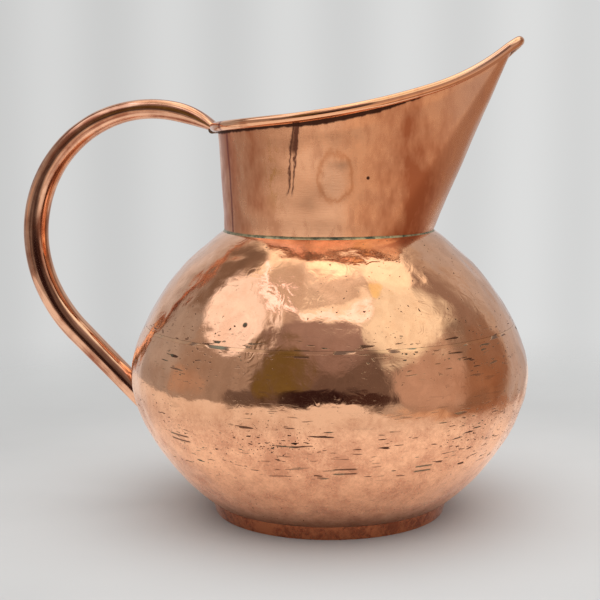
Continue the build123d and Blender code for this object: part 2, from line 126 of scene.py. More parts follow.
class Tree:
    """A shader or geometry node tree, with one method that adds any node."""

    def __init__(self, group):
        self.group = group

    def node(self, kind, settings=None, inputs=None):
        """Adds a node with its settings, and with values or links on its inputs."""
        node = self.group.nodes.new(kind)
        for key, value in (settings or {}).items():
            setattr(node, key, value)
        for key, value in (inputs or {}).items():
            self.feed(node.inputs[key], value)
        return Outputs(self, node)

    def feed(self, socket, value):
        """Links a field to an input, or sets a plain value on it."""
        if isinstance(value, Field):
            self.group.links.new(value.socket, socket)
        elif value is not None:
            socket.default_value = value

    def vector(self, operation, *values):
        """A Vector Math node."""
        out = "Value" if operation in ("DISTANCE", "LENGTH", "DOT_PRODUCT") else "Vector"
        settings = {"operation": operation}
        if operation == "SCALE":
            return self.node("ShaderNodeVectorMath", settings, {0: values[0], "Scale": values[1]})[out]
        return self.node("ShaderNodeVectorMath", settings, dict(enumerate(values)))[out]

    def along(self, place, direction, distance):
        """A place moved this far along a direction."""
        return self.vector("ADD", place, self.vector("SCALE", direction, distance))

    def blend(self, factor, one, other):
        """A colour between two colours."""
        inputs = {0: factor, 6: self.colour(one), 7: self.colour(other)}
        return self.node("ShaderNodeMix", {"data_type": "RGBA"}, inputs)[2]

    def shade(self, colour, by):
        """A colour made darker or lighter by a factor."""
        grey = self.node("ShaderNodeCombineColor", {}, {0: by, 1: by, 2: by})[0]
        settings = {"data_type": "RGBA", "blend_type": "MULTIPLY"}
        return self.node("ShaderNodeMix", settings, {0: 1.0, 6: self.colour(colour), 7: grey})[2]

    def colour(self, value):
        """A field as it is, or three numbers with an alpha of 1."""
        if isinstance(value, Field):
            return value
        return (*tuple(value)[:3], 1.0)

    def noise(self, place, size, seed=0.0, detail=2.0, roughness=0.5, stretch=None, warp=0.0):
        """Noise from 0 to 1, and mostly from 0.3 to 0.7, whose features have this size in metres."""
        if stretch:
            place = self.vector("MULTIPLY", place, stretch)
        inputs = {"Vector": place, "W": seed, "Detail": detail, "Roughness": roughness}
        inputs["Scale"] = 1.0 / size
        inputs["Distortion"] = warp
        return self.node("ShaderNodeTexNoise", {"noise_dimensions": "4D"}, inputs)[0]


def new_group(name, inputs):
    """An empty geometry node group with named inputs, and its tree and input node."""
    group = bpy.data.node_groups.new(name, "GeometryNodeTree")
    group.interface.new_socket(name="Geometry", in_out="INPUT", socket_type="NodeSocketGeometry")
    for label, (kind, default) in inputs.items():
        item = group.interface.new_socket(name=label, in_out="INPUT", socket_type=kind)
        if default is not None:
            item.default_value = default
    group.interface.new_socket(name="Geometry", in_out="OUTPUT", socket_type="NodeSocketGeometry")
    tree = Tree(group)
    return group, tree, tree.node("NodeGroupInput")


NUMBER = "NodeSocketFloat"
WHOLE = "NodeSocketInt"
MATERIAL = "NodeSocketMaterial"
VECTOR = "NodeSocketVector"
OBJECT = "NodeSocketObject"
# Faces that meet at more than this angle have a sharp edge between them
SHARP_ANGLE = math.radians(38)
# Points of the two ends of a turned sheet join within this distance
JOIN_DISTANCE = 2e-6


def finish_group(tree, geometry, outside, inside=None):
    """Last nodes of a tree: smooth faces between sharp edges, realized instances and materials."""
    geometry = tree.node("GeometryNodeSetShadeSmooth", {}, {"Geometry": geometry})[0]
    soft = tree.node("GeometryNodeInputMeshEdgeAngle")["Unsigned Angle"].math("LESS_THAN", SHARP_ANGLE)
    inputs = {"Geometry": geometry, "Shade Smooth": soft}
    geometry = tree.node("GeometryNodeSetShadeSmooth", {"domain": "EDGE"}, inputs)[0]
    geometry = tree.node("GeometryNodeRealizeInstances", {}, {"Geometry": geometry})[0]
    geometry = tree.node("GeometryNodeSetMaterial", {}, {"Geometry": geometry, "Material": outside})[0]
    if inside is not None:
        lined = named(tree, "lined").math("GREATER_THAN", 0.5)
        inputs = {"Geometry": geometry, "Selection": lined, "Material": inside}
        geometry = tree.node("GeometryNodeSetMaterial", {}, inputs)[0]
    tree.node("NodeGroupOutput", {}, {"Geometry": geometry})


def named(tree, name, kind="FLOAT"):
    """A named attribute of the geometry."""
    return tree.node("GeometryNodeInputNamedAttribute", {"data_type": kind}, {"Name": name})[0]


def store(tree, geometry, name, value, kind="FLOAT"):
    """Stores a value on the points of the geometry, for a material to read."""
    settings = {"data_type": kind, "domain": "POINT"}
    inputs = {"Geometry": geometry, "Name": name, "Value": value}
    return tree.node("GeometryNodeStoreNamedAttribute", settings, inputs)[0]


# Sizes and colours


def length(label, default, note):
    kind = {"unit": "LENGTH", "subtype": "DISTANCE", "precision": 5}
    return FloatProperty(name=label, description=note, default=default, **kind)


def angle(label, degrees, note):
    kind = {"unit": "ROTATION", "subtype": "ANGLE"}
    return FloatProperty(name=label, description=note, default=math.radians(degrees), **kind)


def colour(label, default, note):
    kind = {"size": 3, "min": 0, "max": 1, "subtype": "COLOR"}
    return FloatVectorProperty(name=label, description=note, default=default, **kind)


class BodySizes(bpy.types.PropertyGroup):
    """Sizes of the two body shells and the foot."""

    belly_radius: length("Belly radius", 0.1, "Widest radius of the body")
    belly_height: length("Belly height", 0.0707, "Height of the widest place")
    belly_arc: length("Belly arc", 0.04235, "Radius of the arc at the belly, seen from the side")
    shoulder_arc: length("Shoulder arc", 0.1076, "Radius of the arc above the belly")
    shoulder_turn: angle("Shoulder turn", 17.8, "Lean of the wall where the shoulder arc starts")
    bowl_arc: length("Bowl arc", 0.0972, "Radius of the arc below the belly")
    bowl_turn: angle("Bowl turn", 17.7, "Lean of the wall where the bowl arc starts")
    sheet: length("Sheet", 0.0011, "Thickness of the body's copper")
    base_lift: length("Base lift", 0.0048, "Height of the base above the table")
    base_rise: length("Base rise", 0.0025, "How far the base is pushed up in its middle")
    knuckle: length("Knuckle", 0.007, "Radius between the bowl and its base")
    girth_height: length("Girth height", 0.097, "Height of the seam between the two shells")
    girth_lap: length("Girth lap", 0.006, "How far the bowl laps inside the shoulder")
    girth_step: length("Girth step", 0.0016, "Height of the brass line in the seam")
    lap_gap: length("Lap gap", 0.0001, "Room between the bowl and the shoulder where they lap")
    solder_gap: length("Solder gap", 0.00005, "Room between a brazing and what it joins")
    collar_height: length("Collar height", 0.006, "How far the shoulder turns up inside the neck")
    foot_height: length("Foot height", 0.007, "Height of the foot ring")
    foot_strip: length("Foot strip", 0.0017, "Thickness of the foot strip")
    foot_flare: length("Foot flare", 0.002, "How much wider the foot is at its top")
    foot_edge: length("Foot edge", 0.0005, "Rounding of the foot ring's lower edges")
    around: IntProperty(name="Steps around", description="Faces round the body", default=480, min=48, max=900)


class NeckSizes(bpy.types.PropertyGroup):
    """Sizes of the neck, the spout and the rolled rim."""

    radius: length("Neck radius", 0.0521, "Outer radius where the neck joins the shoulder")
    sheet: length("Sheet", 0.0009, "Thickness of the neck's copper")
    back_lean: angle("Back lean", 3.2, "Lean of the neck's back")
    spout_lean: angle("Spout lean", 23.4, "Lean of the spout's front")
    nose: length("Spout nose", 0.0025, "Radius of the spout's front edge at its top")
    cheek_root: angle("Cheek root", 1.5, "Half the width of each flat cheek at the neck's foot")
    rim_height: length("Rim height", 0.0509, "Height of the rim above the neck's foot, at the back")
    rim_slope: angle("Rim slope", 5.26, "Slope of the rim over the back")
    rim_bend: length("Rim bend", 0.010, "Where the rim starts to bend, behind the axis")
    rim_arc: length("Rim arc", 0.281, "Radius of the rim's first bend")
    rim_turn: angle("Rim turn", 19.0, "Slope of the rim at the end of its first bend")
    spout_arc: length("Spout arc", 0.095, "Radius of the rim's bend up to the spout's tip")
    wire: length("Rim wire", 0.0029, "Diameter of the wire in the rolled rim")
    bore_gap: length("Bore gap", 0.00005, "Play of the wire in the roll")
    tuck: length("Tuck", 0.00015, "How far the roll stands in past the wall")
    braze: length("Brazing", 0.0011, "Width and height of the line of brazing at the neck's foot")
    braze_sag: length("Brazing sag", 0.00025, "How far the face of that line sinks in")


class HandleSizes(bpy.types.PropertyGroup):
    """Sizes of the handle."""

    bow: length("Bow radius", 0.0655, "Radius of the handle's round bow")
    ease: length("Ease radius", 0.076, "Radius where the bow runs out into the straight run")
    ease_start: angle("Ease start", 205.0, "Where round the bow the wider radius starts")
    run_slope: angle("Run slope", 44.0, "Slope of the straight run down to the belly")
    run: length("Run length", 0.0596, "Length of the straight run up to the belly")
    overrun: length("Overrun", 0.020, "How far the tube's lower side runs on along the belly")
    tube: length("Tube", 0.0132, "Diameter of the handle's tube")
    slim: length("Slim tube", 0.010, "Diameter before the pinched tip")
    taper_start: angle("Taper start", 170.0, "Where round the bow the taper starts")
    taper_end: angle("Taper end", 78.0, "Where round the bow the tube starts to flatten")
    tip: angle("Tip", 58.5, "Where round the bow the handle ends")
    tip_thickness: length("Tip thickness", 0.0044, "Thickness of the pinched tip")
    tip_width: length("Tip width", 0.0128, "Width of the pinched tip")
    setback: length("Tip setback", 0.0021, "How far the tip ends behind the middle of the rim")
    drop: length("Tip drop", 0.00035, "How far the tip ends below the middle of the rim")


class Finish(bpy.types.PropertyGroup):
    """Colours of the metals and depth of the hammer's marks."""

    body: colour("Body copper", (0.94, 0.54, 0.335), "Polished copper of the body")
    neck: colour("Neck copper", (0.95, 0.52, 0.31), "Polished copper of the neck")
    handle: colour("Handle copper", (0.93, 0.55, 0.37), "Polished copper of the handle")
    foot: colour("Foot copper", (0.50, 0.20, 0.10), "Worn copper of the foot ring")
    copper: colour("Seam copper", (0.95, 0.55, 0.33), "Copper that is rubbed over the girth seam")
    tarnish: colour("Tarnish", (0.62, 0.26, 0.12), "Brown tarnish")
    # Dark oxide, also painted as shade under the neck's roll and near the body's foot
    oxide_and_shade: colour("Oxide", (0.085, 0.034, 0.022), "Dark oxide in pits and corners")
    verdigris: colour("Verdigris", (0.13, 0.20, 0.14), "Pale green in the seams")
    brass: colour("Brass", (0.50, 0.42, 0.24), "Brazing brass")
    tin: colour("Tin", (0.56, 0.54, 0.50), "Tin lining")
    solder: colour("Solder", (0.44, 0.31, 0.23), "Soft solder")
    iron: colour("Iron", (0.30, 0.29, 0.28), "Wire in the rim")
    beat: length("Beating depth", 0.0018, "Depth of the broad waves left by beating")
    dish: length("Dish depth", 0.00045, "Depth of the single hammer marks")


class Stage(bpy.types.PropertyGroup):
    """Table, light and camera."""

    table: colour("Table", (0.51, 0.513, 0.513), "Colour of the table")
    paper: colour("Background", (0.665, 0.667, 0.662), "Colour behind the table")
    lens: FloatProperty(
        name="Lens", description="Focal length", default=81.94, min=20, max=200, unit="CAMERA"
    )
    camera_turn: angle("Camera turn", 13.7239, "How far the camera looks towards the handle")
    camera_tilt: angle("Camera tilt", 7.9917, "How far the camera looks down")
    camera_roll: angle("Camera roll", -0.3234, "How far the camera leans to one side")
    near: length("Table edge", 0.52, "How far the table reaches from the jug")
    side: length("Table side", 0.22, "How far the table reaches past the spout")
    fold: angle("Curtain fold", 4.84, "Width of one soft fold behind the table")
    fold_turn: angle("Fold turn", 92.0, "Where the first fold stands")


GROUPS = {
    "jug_body": BodySizes,
    "jug_neck": NeckSizes,
    "jug_handle": HandleSizes,
    "jug_finish": Finish,
    "jug_stage": Stage,
}


# Shape of the body, in radius and height


class Outline:
    """Side view of the body's outer face: three arcs that run into each other."""

    def __init__(self, size):
        self.size = size
        self.belly = (size.belly_radius - size.belly_arc, size.belly_height)
        self.shoulder = self.next_arc(size.shoulder_arc, size.shoulder_turn)
        self.bowl = self.next_arc(size.bowl_arc, -size.bowl_turn)
        reach = size.bowl_arc - size.knuckle
        rise = size.base_lift + size.knuckle - self.bowl[1]
        self.knuckle = (self.bowl[0] + math.sqrt(reach**2 - rise**2), size.base_lift + size.knuckle)
        self.knuckle_angle = math.atan2(rise, self.knuckle[0] - self.bowl[0])

    def next_arc(self, radius, turn):
        """Centre of the arc that goes on from the belly's arc at a normal angle."""
        step = self.size.belly_arc - radius
        return (self.belly[0] + step * math.cos(turn), self.belly[1] + step * math.sin(turn))

    def arc(self, turn):
        """Centre and radius of the arc where the outward normal has this angle."""
        if turn > self.size.shoulder_turn:
            return self.shoulder, self.size.shoulder_arc
        if turn < -self.size.bowl_turn:
            return self.bowl, self.size.bowl_arc
        return self.belly, self.size.belly_arc

    def point(self, turn, depth=0.0):
        """Place on the outline where the outward normal has this angle."""
        centre, radius = self.arc(turn)
        reach = radius - depth
        return (centre[0] + reach * math.cos(turn), centre[1] + reach * math.sin(turn))

    def turn_at_height(self, height):
        return math.asin((height - self.shoulder[1]) / self.size.shoulder_arc)

    def shoulder_height(self, radius):
        return self.shoulder[1] + math.sqrt(self.size.shoulder_arc**2 - (radius - self.shoulder[0]) ** 2)

    def bowl_radius(self, height):
        return self.bowl[0] + math.sqrt(self.size.bowl_arc**2 - (height - self.bowl[1]) ** 2)


def keep(mesh, name, values):
    """Stores a number on each point of a mesh."""
    mesh.attributes.new(name, "FLOAT", "POINT").data.foreach_set("value", values)


def keep_vectors(mesh, name, values):
    """Stores a vector on each point of a mesh."""
    attribute = mesh.attributes.new(name, "FLOAT_VECTOR", "POINT")
    attribute.data.foreach_set("vector", np.array(values).reshape(-1))


class Profile:
    """Half section of a turned piece: places, the outer face behind each, and which side it is on."""

    def __init__(self):
        self.rows = []

    def add(self, place, seat=None, out=(0.0, 0.0), lined=0.0):
        """Adds a place in radius and height; the relief moves it along out by the height at its seat."""
        self.rows.append((*place, *(seat or place), *out, lined))

    def close(self):
        """Ends the section at the place where it began."""
        self.rows.append(self.rows[0])

    def mesh(self, name):
        mesh = bpy.data.meshes.new(name)
        mesh.from_pydata([(r[0], 0, r[1]) for r in self.rows], [], [])
        for label, x, z in (("seat", 2, 3), ("out", 4, 5)):
            keep_vectors(mesh, label, [(r[x], 0.0, r[z]) for r in self.rows])
        keep(mesh, "lined", [r[6] for r in self.rows])
        return mesh


# Relief that the hammer and the years leave in the sheet


WAVE_SIZE = 0.021
HAMMER_MARK_SIZE = 0.0075
# The noise stays under this value, so that a relief below it only goes inwards
HIGHEST = 0.76


def beaten(tree, place, wave, dish, seed):
    """Height of the beaten surface at a place, always inwards: broad waves and hammer marks."""
    broad = tree.noise(place, WAVE_SIZE, seed, 0.6, 0.4) - HIGHEST
    middle = tree.noise(place, HAMMER_MARK_SIZE, seed + 1.0, 0.6, 0.5) - HIGHEST
    return broad * wave + middle * dish


def dents(tree, place, spots):
    """Height of round dents: each spot is a centre, a radius and a depth, all in metres."""
    total = None
    for centre, radius, depth in spots:
        away = tree.vector("DISTANCE", place, centre) / radius
        dent = (away * away * -1).math("EXPONENT") * -depth
        total = dent if total is None else total + dent
    return total


# Centre, radius and depth of each dent in the body; a depth below 0 is a swelling
BODY_DENTS = (
    ((0.060, -0.075, 0.104), 0.017, 0.0002),
    ((-0.020, -0.088, 0.100), 0.013, 0.0004),
    ((0.006, -0.066, 0.128), 0.012, -0.0004),
    ((-0.050, -0.060, 0.118), 0.014, 0.0004),
    ((0.030, -0.094, 0.062), 0.016, 0.0004),
    ((-0.045, -0.085, 0.070), 0.012, 0.0003),
    ((0.062, 0.068, 0.098), 0.015, 0.0005),
    ((-0.030, 0.086, 0.092), 0.014, 0.0004),
    ((0.010, 0.098, 0.060), 0.013, 0.0004),
)


def turned_group():
    """Geometry nodes that spin a half section round the jug's axis and beat the result."""
    inputs = {
        "Steps Around": (WHOLE, 480),
        "Axis": (VECTOR, None),
        "Wave": (NUMBER, 0.0),
        "Dish": (NUMBER, 0.0),
        "Dents": (NUMBER, 0.0),
        "Seed": (NUMBER, 0.0),
        "Outside": (MATERIAL, None),
        "Inside": (MATERIAL, None),
    }
    group, tree, given = new_group("Turned and beaten sheet", inputs)
    section = given["Geometry"]
    rows = tree.node("GeometryNodeAttributeDomainSize", {"component": "MESH"}, {"Geometry": section})[0]
    steps = given["Steps Around"]
    sizes = {"Size X": 1.0, "Size Y": 1.0, "Vertices X": steps + 1, "Vertices Y": rows}
    grid = tree.node("GeometryNodeMeshGrid", {}, sizes)["Mesh"]
    index = tree.node("GeometryNodeInputIndex")[0]
    # Each column of the grid is the half section, turned one step on; 0.5 keeps FLOOR off the edge
    column = ((index + 0.5) / rows).math("FLOOR")
    row = index - column * rows
    turn = column / steps * math.tau

    def sampled(value, kind="FLOAT_VECTOR"):
        settings = {"data_type": kind, "domain": "POINT"}
        inputs = {"Geometry": section, "Value": value, "Index": row}
        return tree.node("GeometryNodeSampleIndex", settings, inputs)[0]

    def spun(value):
        inputs = {"Vector": sampled(value), "Angle": turn}
        return tree.node("ShaderNodeVectorRotate", {"rotation_type": "Z_AXIS"}, inputs)[0]

    place = spun(tree.node("GeometryNodeInputPosition")[0])
    seat = spun(named(tree, "seat", "FLOAT_VECTOR"))
    out = spun(named(tree, "out", "FLOAT_VECTOR"))
    lined = sampled(named(tree, "lined"), "FLOAT")
    height = beaten(tree, seat, given["Wave"], given["Dish"], given["Seed"])
    height = height + dents(tree, seat, BODY_DENTS) * given["Dents"]
    place = tree.vector("ADD", tree.along(place, out, height), given["Axis"])
    grid = store(tree, grid, "lined", lined)
    grid = tree.node("GeometryNodeSetPosition", {}, {"Geometry": grid, "Position": place})[0]
    grid = tree.node("GeometryNodeMergeByDistance", {}, {"Geometry": grid, "Distance": JOIN_DISTANCE})[0]
    finish_group(tree, grid, given["Outside"], given["Inside"])
    return group


def sheet_group():
    """Geometry nodes that beat a sheet along the direction stored on each of its points."""
    inputs = {
        "Axis": (VECTOR, None),
        "Wave": (NUMBER, 0.0),
        "Dish": (NUMBER, 0.0),
        "Seed": (NUMBER, 0.0),
        "Outside": (MATERIAL, None),
        "Inside": (MATERIAL, None),
    }
    group, tree, given = new_group("Beaten neck sheet", inputs)
    seat = named(tree, "seat", "FLOAT_VECTOR")
    height = beaten(tree, seat, given["Wave"], given["Dish"], given["Seed"])
    height = height + dents(tree, seat, NECK_DENTS)
    height = height * named(tree, "free")
    place = tree.node("GeometryNodeInputPosition")[0]
    place = tree.along(place, named(tree, "out", "FLOAT_VECTOR"), height)
    place = tree.vector("ADD", place, given["Axis"])
    sheet = tree.node("GeometryNodeSetPosition", {}, {"Geometry": given["Geometry"], "Position": place})[0]
    finish_group(tree, sheet, given["Outside"], given["Inside"])
    return group


# Centre, radius and depth of each dent in the neck
NECK_DENTS = (
    ((0.002, -0.055, 0.172), 0.010, 0.0004),
    ((0.002, -0.055, 0.162), 0.008, 0.0003),
    ((0.018, -0.053, 0.178), 0.003, 0.0002),
    ((-0.040, 0.038, 0.168), 0.010, 0.0003),
)


def mixed(tree, factor, one, other):
    """A vector between two vectors."""
    return tree.node("ShaderNodeMix", {"data_type": "VECTOR"}, {0: factor, 4: one, 5: other})[1]


# The handle's tube is a little uneven, and always smaller than its nominal size
HANDLE_RIPPLE = 0.0003
HANDLE_RIPPLE_MIDDLE = 0.00025
HANDLE_RIPPLE_SIZE = 0.02
# Turns the tube's section, so that no row of points lies just on the plane of the jug
SECTION_TURN = 0.05


def handle_group():
    """Geometry nodes that run a tube along the handle's line and cut its end to the belly."""
    inputs = {
        "Steps Around": (WHOLE, 64),
        "Body": (OBJECT, None),
        "Run Direction": (VECTOR, None),
        "Run Length": (NUMBER, 0.06),
        "Longest": (NUMBER, 0.08),
        "Sink": (NUMBER, 0.0003),
        "Seed": (NUMBER, 0.0),
        "Outside": (MATERIAL, None),
    }
    group, tree, given = new_group("Handle tube", inputs)
    inputs = {"Resolution": given["Steps Around"], "Radius": 1.0}
    section = tree.node("GeometryNodeCurvePrimitiveCircle", {"mode": "RADIUS"}, inputs)["Curve"]
    inputs = {"Geometry": section, "Rotation": (0.0, 0.0, SECTION_TURN)}
    section = tree.node("GeometryNodeTransform", {}, inputs)[0]
    section = store(tree, section, "ring", tree.node("GeometryNodeInputPosition")[0], "FLOAT_VECTOR")
    line = tree.node("GeometryNodeMeshToCurve", {}, {"Mesh": given["Geometry"]})[0]
    inputs = {"Curve": line, "Profile Curve": section, "Fill Caps": True}
    tube = tree.node("GeometryNodeCurveToMesh", {}, inputs)[0]
    centre = named(tree, "centre", "FLOAT_VECTOR")
    across = named(tree, "across", "FLOAT_VECTOR")
    away = tree.vector("SUBTRACT", tree.node("GeometryNodeInputPosition")[0], centre)
    ripple = tree.noise(centre, HANDLE_RIPPLE_SIZE, given["Seed"], 1.0)
    ripple = ripple * HANDLE_RIPPLE - HANDLE_RIPPLE_MIDDLE
    up = tree.vector("DOT_PRODUCT", away, across) * (named(tree, "thick") + ripple)
    side = tree.vector("DOT_PRODUCT", away, (0.0, 1.0, 0.0)) * (named(tree, "wide") + ripple)
    moved = tree.along(tree.along(centre, across, up), (0.0, 1.0, 0.0), side)
    direction = given["Run Direction"]
    run = named(tree, "run")
    start = tree.along(moved, direction, run * -1)
    inputs = {"Object": given["Body"]}
    body = tree.node("GeometryNodeObjectInfo", {"transform_space": "ORIGINAL"}, inputs)["Geometry"]
    rays = {"Target Geometry": body, "Source Position": start}
    rays.update({"Ray Direction": direction, "Ray Length": 1.0})
    hit = tree.node("GeometryNodeRaycast", {}, rays)
    seen, longest = hit["Is Hit"], given["Longest"]
    to_body = (hit["Hit Distance"] + given["Sink"]) * seen + (1 - seen) * longest
    end = tree.along(start, direction, to_body.math("MINIMUM", longest))
    seat = tree.node("GeometryNodeProximity", {}, {"Geometry": body, "Sample Position": end})["Position"]
    seat = tree.along(seat, direction, given["Sink"])
    cut = mixed(tree, run / given["Run Length"], start, seat)
    place = mixed(tree, run.math("GREATER_THAN", 0.0), moved, cut)
    tube = tree.node("GeometryNodeSetPosition", {}, {"Geometry": tube, "Position": place})[0]
    finish_group(tree, tube, given["Outside"])
    return group


# Shape of the neck


# Rounds that bring a search by repeated use of a formula to rest
SEARCH_STEPS = 60
# The untrimmed sheet stands this many sheet thicknesses over the tip of the spout
TRIM_SHEETS = 4
# The roll ends at this angle, where 0 points outwards and 90 degrees up
LIP_ANGLE = math.radians(-128)
# The tin lining ends at this angle of the roll
LINING_ANGLE = math.radians(100)
# The roll is this much smaller than the solid's, to stay inside its box
ROLL_SLACK = 0.00001
# Distances from the neck's foot and from the roll over which the relief fades in
FADE_UP = (0.001, 0.010)
FADE_DOWN = (0.002, 0.010)


class NeckForm:
    """The neck: rulings from a round foot to a drawn-out top, trimmed along a rim line."""

    def __init__(self, size, outline):
        self.size = size
        self.seam = outline.shoulder_height(size.radius)
        self.back = -(size.radius + size.rim_height * math.tan(size.back_lean))
        slope, turn = size.rim_slope, size.rim_turn
        level = self.seam + size.rim_height
        self.start = (-size.rim_bend, level + math.tan(slope) * (-size.rim_bend - self.back))
        self.centre = self.moved(self.start, -size.rim_arc, slope)
        self.end = self.moved(self.centre, size.rim_arc, turn)
        self.spout = self.moved(self.end, -size.spout_arc, turn)
        tip = size.radius
        for _ in range(SEARCH_STEPS):
            tip = size.radius + math.tan(size.spout_lean) * (self.rim_height(tip) - self.seam)
        self.blank = self.rim_height(tip) + size.sheet * TRIM_SHEETS - self.seam
        self.top_radius = size.radius + self.blank * math.tan(size.back_lean)
        self.nose_out = size.radius + self.blank * math.tan(size.spout_lean) - size.nose
        self.cheek = math.acos((self.top_radius - size.nose) / self.nose_out)

    def moved(self, place, distance, slope):
        """Place this far below another, across a line with this slope."""
        return (place[0] + distance * math.sin(slope), place[1] - distance * math.cos(slope))

    def rim_height(self, x):
        """Height of the rim line: straight over the back, then two arcs up to the spout's tip."""
        if x < self.start[0]:
            return self.start[1] - math.tan(self.size.rim_slope) * (self.start[0] - x)
        if x < self.end[0]:
            return self.centre[1] - math.sqrt(self.size.rim_arc**2 - (x - self.centre[0]) ** 2)
        return self.spout[1] - math.sqrt(self.size.spout_arc**2 - (x - self.spout[0]) ** 2)

    def rulings(self, back=220, cheek=64, nose=56):
        """Foot point, top point and normal angle of each ruling, once round the neck."""
        size = self.size
        root = size.cheek_root
        found = []

        def arc(start, end, centre, radius, count, pinch):
            """Rulings with one normal angle each, from start to end at the top."""
            for i in range(count):
                t = i / count
                turn = start + (end - start) * t
                low = start + pinch + (end - start - 2 * pinch) * t
                found.append((self.ray(0, size.radius, low), self.ray(centre, radius, turn), turn))

        def flat(turn, first, last):
            """Rulings of a flat cheek, whose tops lie on a straight line."""
            for i in range(cheek):
                t = i / cheek
                low = self.ray(0, size.radius, turn + root * (2 * t - 1))
                top = (first[0] + (last[0] - first[0]) * t, first[1] + (last[1] - first[1]) * t)
                found.append((low, top, turn))

        turn = self.cheek
        arc(turn, math.tau - turn, 0, self.top_radius, back, root)
        flat(-turn, self.ray(0, self.top_radius, -turn), self.ray(self.nose_out, size.nose, -turn))
        arc(-turn, turn, self.nose_out, size.nose, nose, root)
        flat(turn, self.ray(self.nose_out, size.nose, turn), self.ray(0, self.top_radius, turn))
        return found

    def ray(self, centre, radius, turn):
        """Place at an angle on a circle whose centre lies on the X axis."""
        return (centre + radius * math.cos(turn), radius * math.sin(turn))

    def back_ruling(self):
        """Foot point, top point and normal angle of the ruling at the back of the neck."""
        return self.ray(0, self.size.radius, math.pi), self.ray(0, self.top_radius, math.pi), math.pi

    def hem_centre(self, low, high, turn):
        """Middle of the rolled rim beside a ruling."""
        size = self.size
        reach = (high[0] - low[0]) * math.cos(turn) + (high[1] - low[1]) * math.sin(turn)
        lean = math.atan2(reach, self.blank)
        part = 0.5
        for _ in range(SEARCH_STEPS):
            part = (self.rim_height(low[0] + (high[0] - low[0]) * part) - self.seam) / self.blank
        x = low[0] + (high[0] - low[0]) * part
        y = low[1] + (high[1] - low[1]) * part
        offset = size.wire / 2 + size.bore_gap - size.tuck
        out = offset * math.cos(lean)
        height = self.rim_height(x) - offset * math.sin(lean)
        return (x + out * math.cos(turn), y + out * math.sin(turn), height)

    def mesh(self, name, wall_rows=64, inner_rows=36, roll_rows=30, bore_rows=18):
        """The sheet as one closed skin: up the inside, over the wire and down the outside."""
        size = self.size
        rulings = self.rulings()
        count = len(rulings)
        hem = np.array([self.hem_centre(*r) for r in rulings])
        foot = np.array([(*r[0], self.seam) for r in rulings])
        along = np.roll(hem, -1, 0) - np.roll(hem, 1, 0)
        along /= np.linalg.norm(along, axis=1)[:, None]
        facing = np.array([(math.cos(r[2]), math.sin(r[2]), 0.0) for r in rulings])
        out = facing - along * (facing * along).sum(1)[:, None]
        out /= np.linalg.norm(out, axis=1)[:, None]
        up = np.cross(out, along)
        up *= np.sign(up[:, 2])[:, None]
        bore = size.wire / 2 + size.bore_gap
        top = hem - out * bore
        rise = top - foot
        normal = np.cross(along, rise)
        normal /= np.linalg.norm(normal, axis=1)[:, None]
        normal *= np.sign((normal * facing).sum(1))[:, None]
        rows = []
        length = np.linalg.norm(rise, axis=1)
        same = np.ones(count)

        def wall(part, depth, lined):
            """One row of the wall; its relief fades out to the brazing and to the roll."""
            place = foot + rise * part
            above, below = length * part, length * (1 - part)
            free = [smooth(x, *FADE_UP) * smooth(y, *FADE_DOWN) for x, y in zip(above, below)]
            values = (np.array(free), same * lined, same * 0, same * 0, below, same * 0)
            rows.append((place - normal * depth, place, normal, *values))

        def roll(turn, radius, lined, under):
            """One row of the roll round the wire, at an angle round the wire's middle; under marks where
            shade is painted.
            """
            ring = out * np.cos(turn) + up * np.sin(turn)
            values = (same * 0, same * lined, same * under, same, same, same * math.degrees(turn))
            rows.append((hem + ring * (radius - ROLL_SLACK), hem, out, *values))

        for i in range(inner_rows):
            wall(i / inner_rows, size.sheet, 1.0)
        # The roll's underside towards the lip and the rows against the wire are marked for painted shade
        sweep = math.pi - LIP_ANGLE
        for i in range(roll_rows + 1):
            turn = math.pi - sweep * i / roll_rows
            roll(turn, bore + size.sheet, float(turn > LINING_ANGLE), smooth(-turn, 1.0, 2.0))
        for i in range(bore_rows + 1):
            roll(LIP_ANGLE + sweep * i / bore_rows, bore, 0.0, 1.0)
        for i in range(1, wall_rows + 1):
            wall(1 - i / wall_rows, 0.0, 0.0)
        return self.skin(name, rows, count)

    def skin(self, name, rows, count):
        """The mesh of closed rows of points, with the values of each row stored on its points."""
        total = len(rows)
        vertices = np.array([r[0] for r in rows]).transpose(1, 0, 2).reshape(-1, 3)
        faces = []
        for i in range(count):
            j = (i + 1) % count
            for k in range(total):
                m = (k + 1) % total
                faces.append((i * total + k, i * total + m, j * total + m, j * total + k))
        mesh = bpy.data.meshes.new(name)
        mesh.from_pydata(vertices.tolist(), [], faces)
        for column, label in enumerate(("seat", "out"), 1):
            keep_vectors(mesh, label, np.array([r[column] for r in rows]).transpose(1, 0, 2))
        for column, label in enumerate(("free", "lined", "under", "bead", "drop", "turn"), 3):
            keep(mesh, label, np.array([r[column] for r in rows]).T.reshape(-1))
        return mesh


def link(name, data):
    """A new object with this data, in the scene."""
    piece = bpy.data.objects.new(name, data)
    bpy.context.scene.collection.objects.link(piece)
    return piece


def baked(piece, group, values):
    """Runs a geometry node group on a piece and keeps the result as its plain mesh."""
    modifier = piece.modifiers.new(group.name, "NODES")
    modifier.node_group = group
    for item in group.interface.items_tree:
        if item.item_type == "SOCKET" and item.in_out == "INPUT" and item.name in values:
            modifier[item.identifier] = values[item.name]
    piece.update_tag()
    graph = bpy.context.evaluated_depsgraph_get()
    mesh = bpy.data.meshes.new_from_object(piece.evaluated_get(graph), depsgraph=graph)
    name = piece.name
    bpy.data.objects.remove(piece)
    made = link(name, mesh)
    mesh.name = name
    if len(mesh.polygons) == 0:
        raise RuntimeError(f"{name} came out empty")
    return made


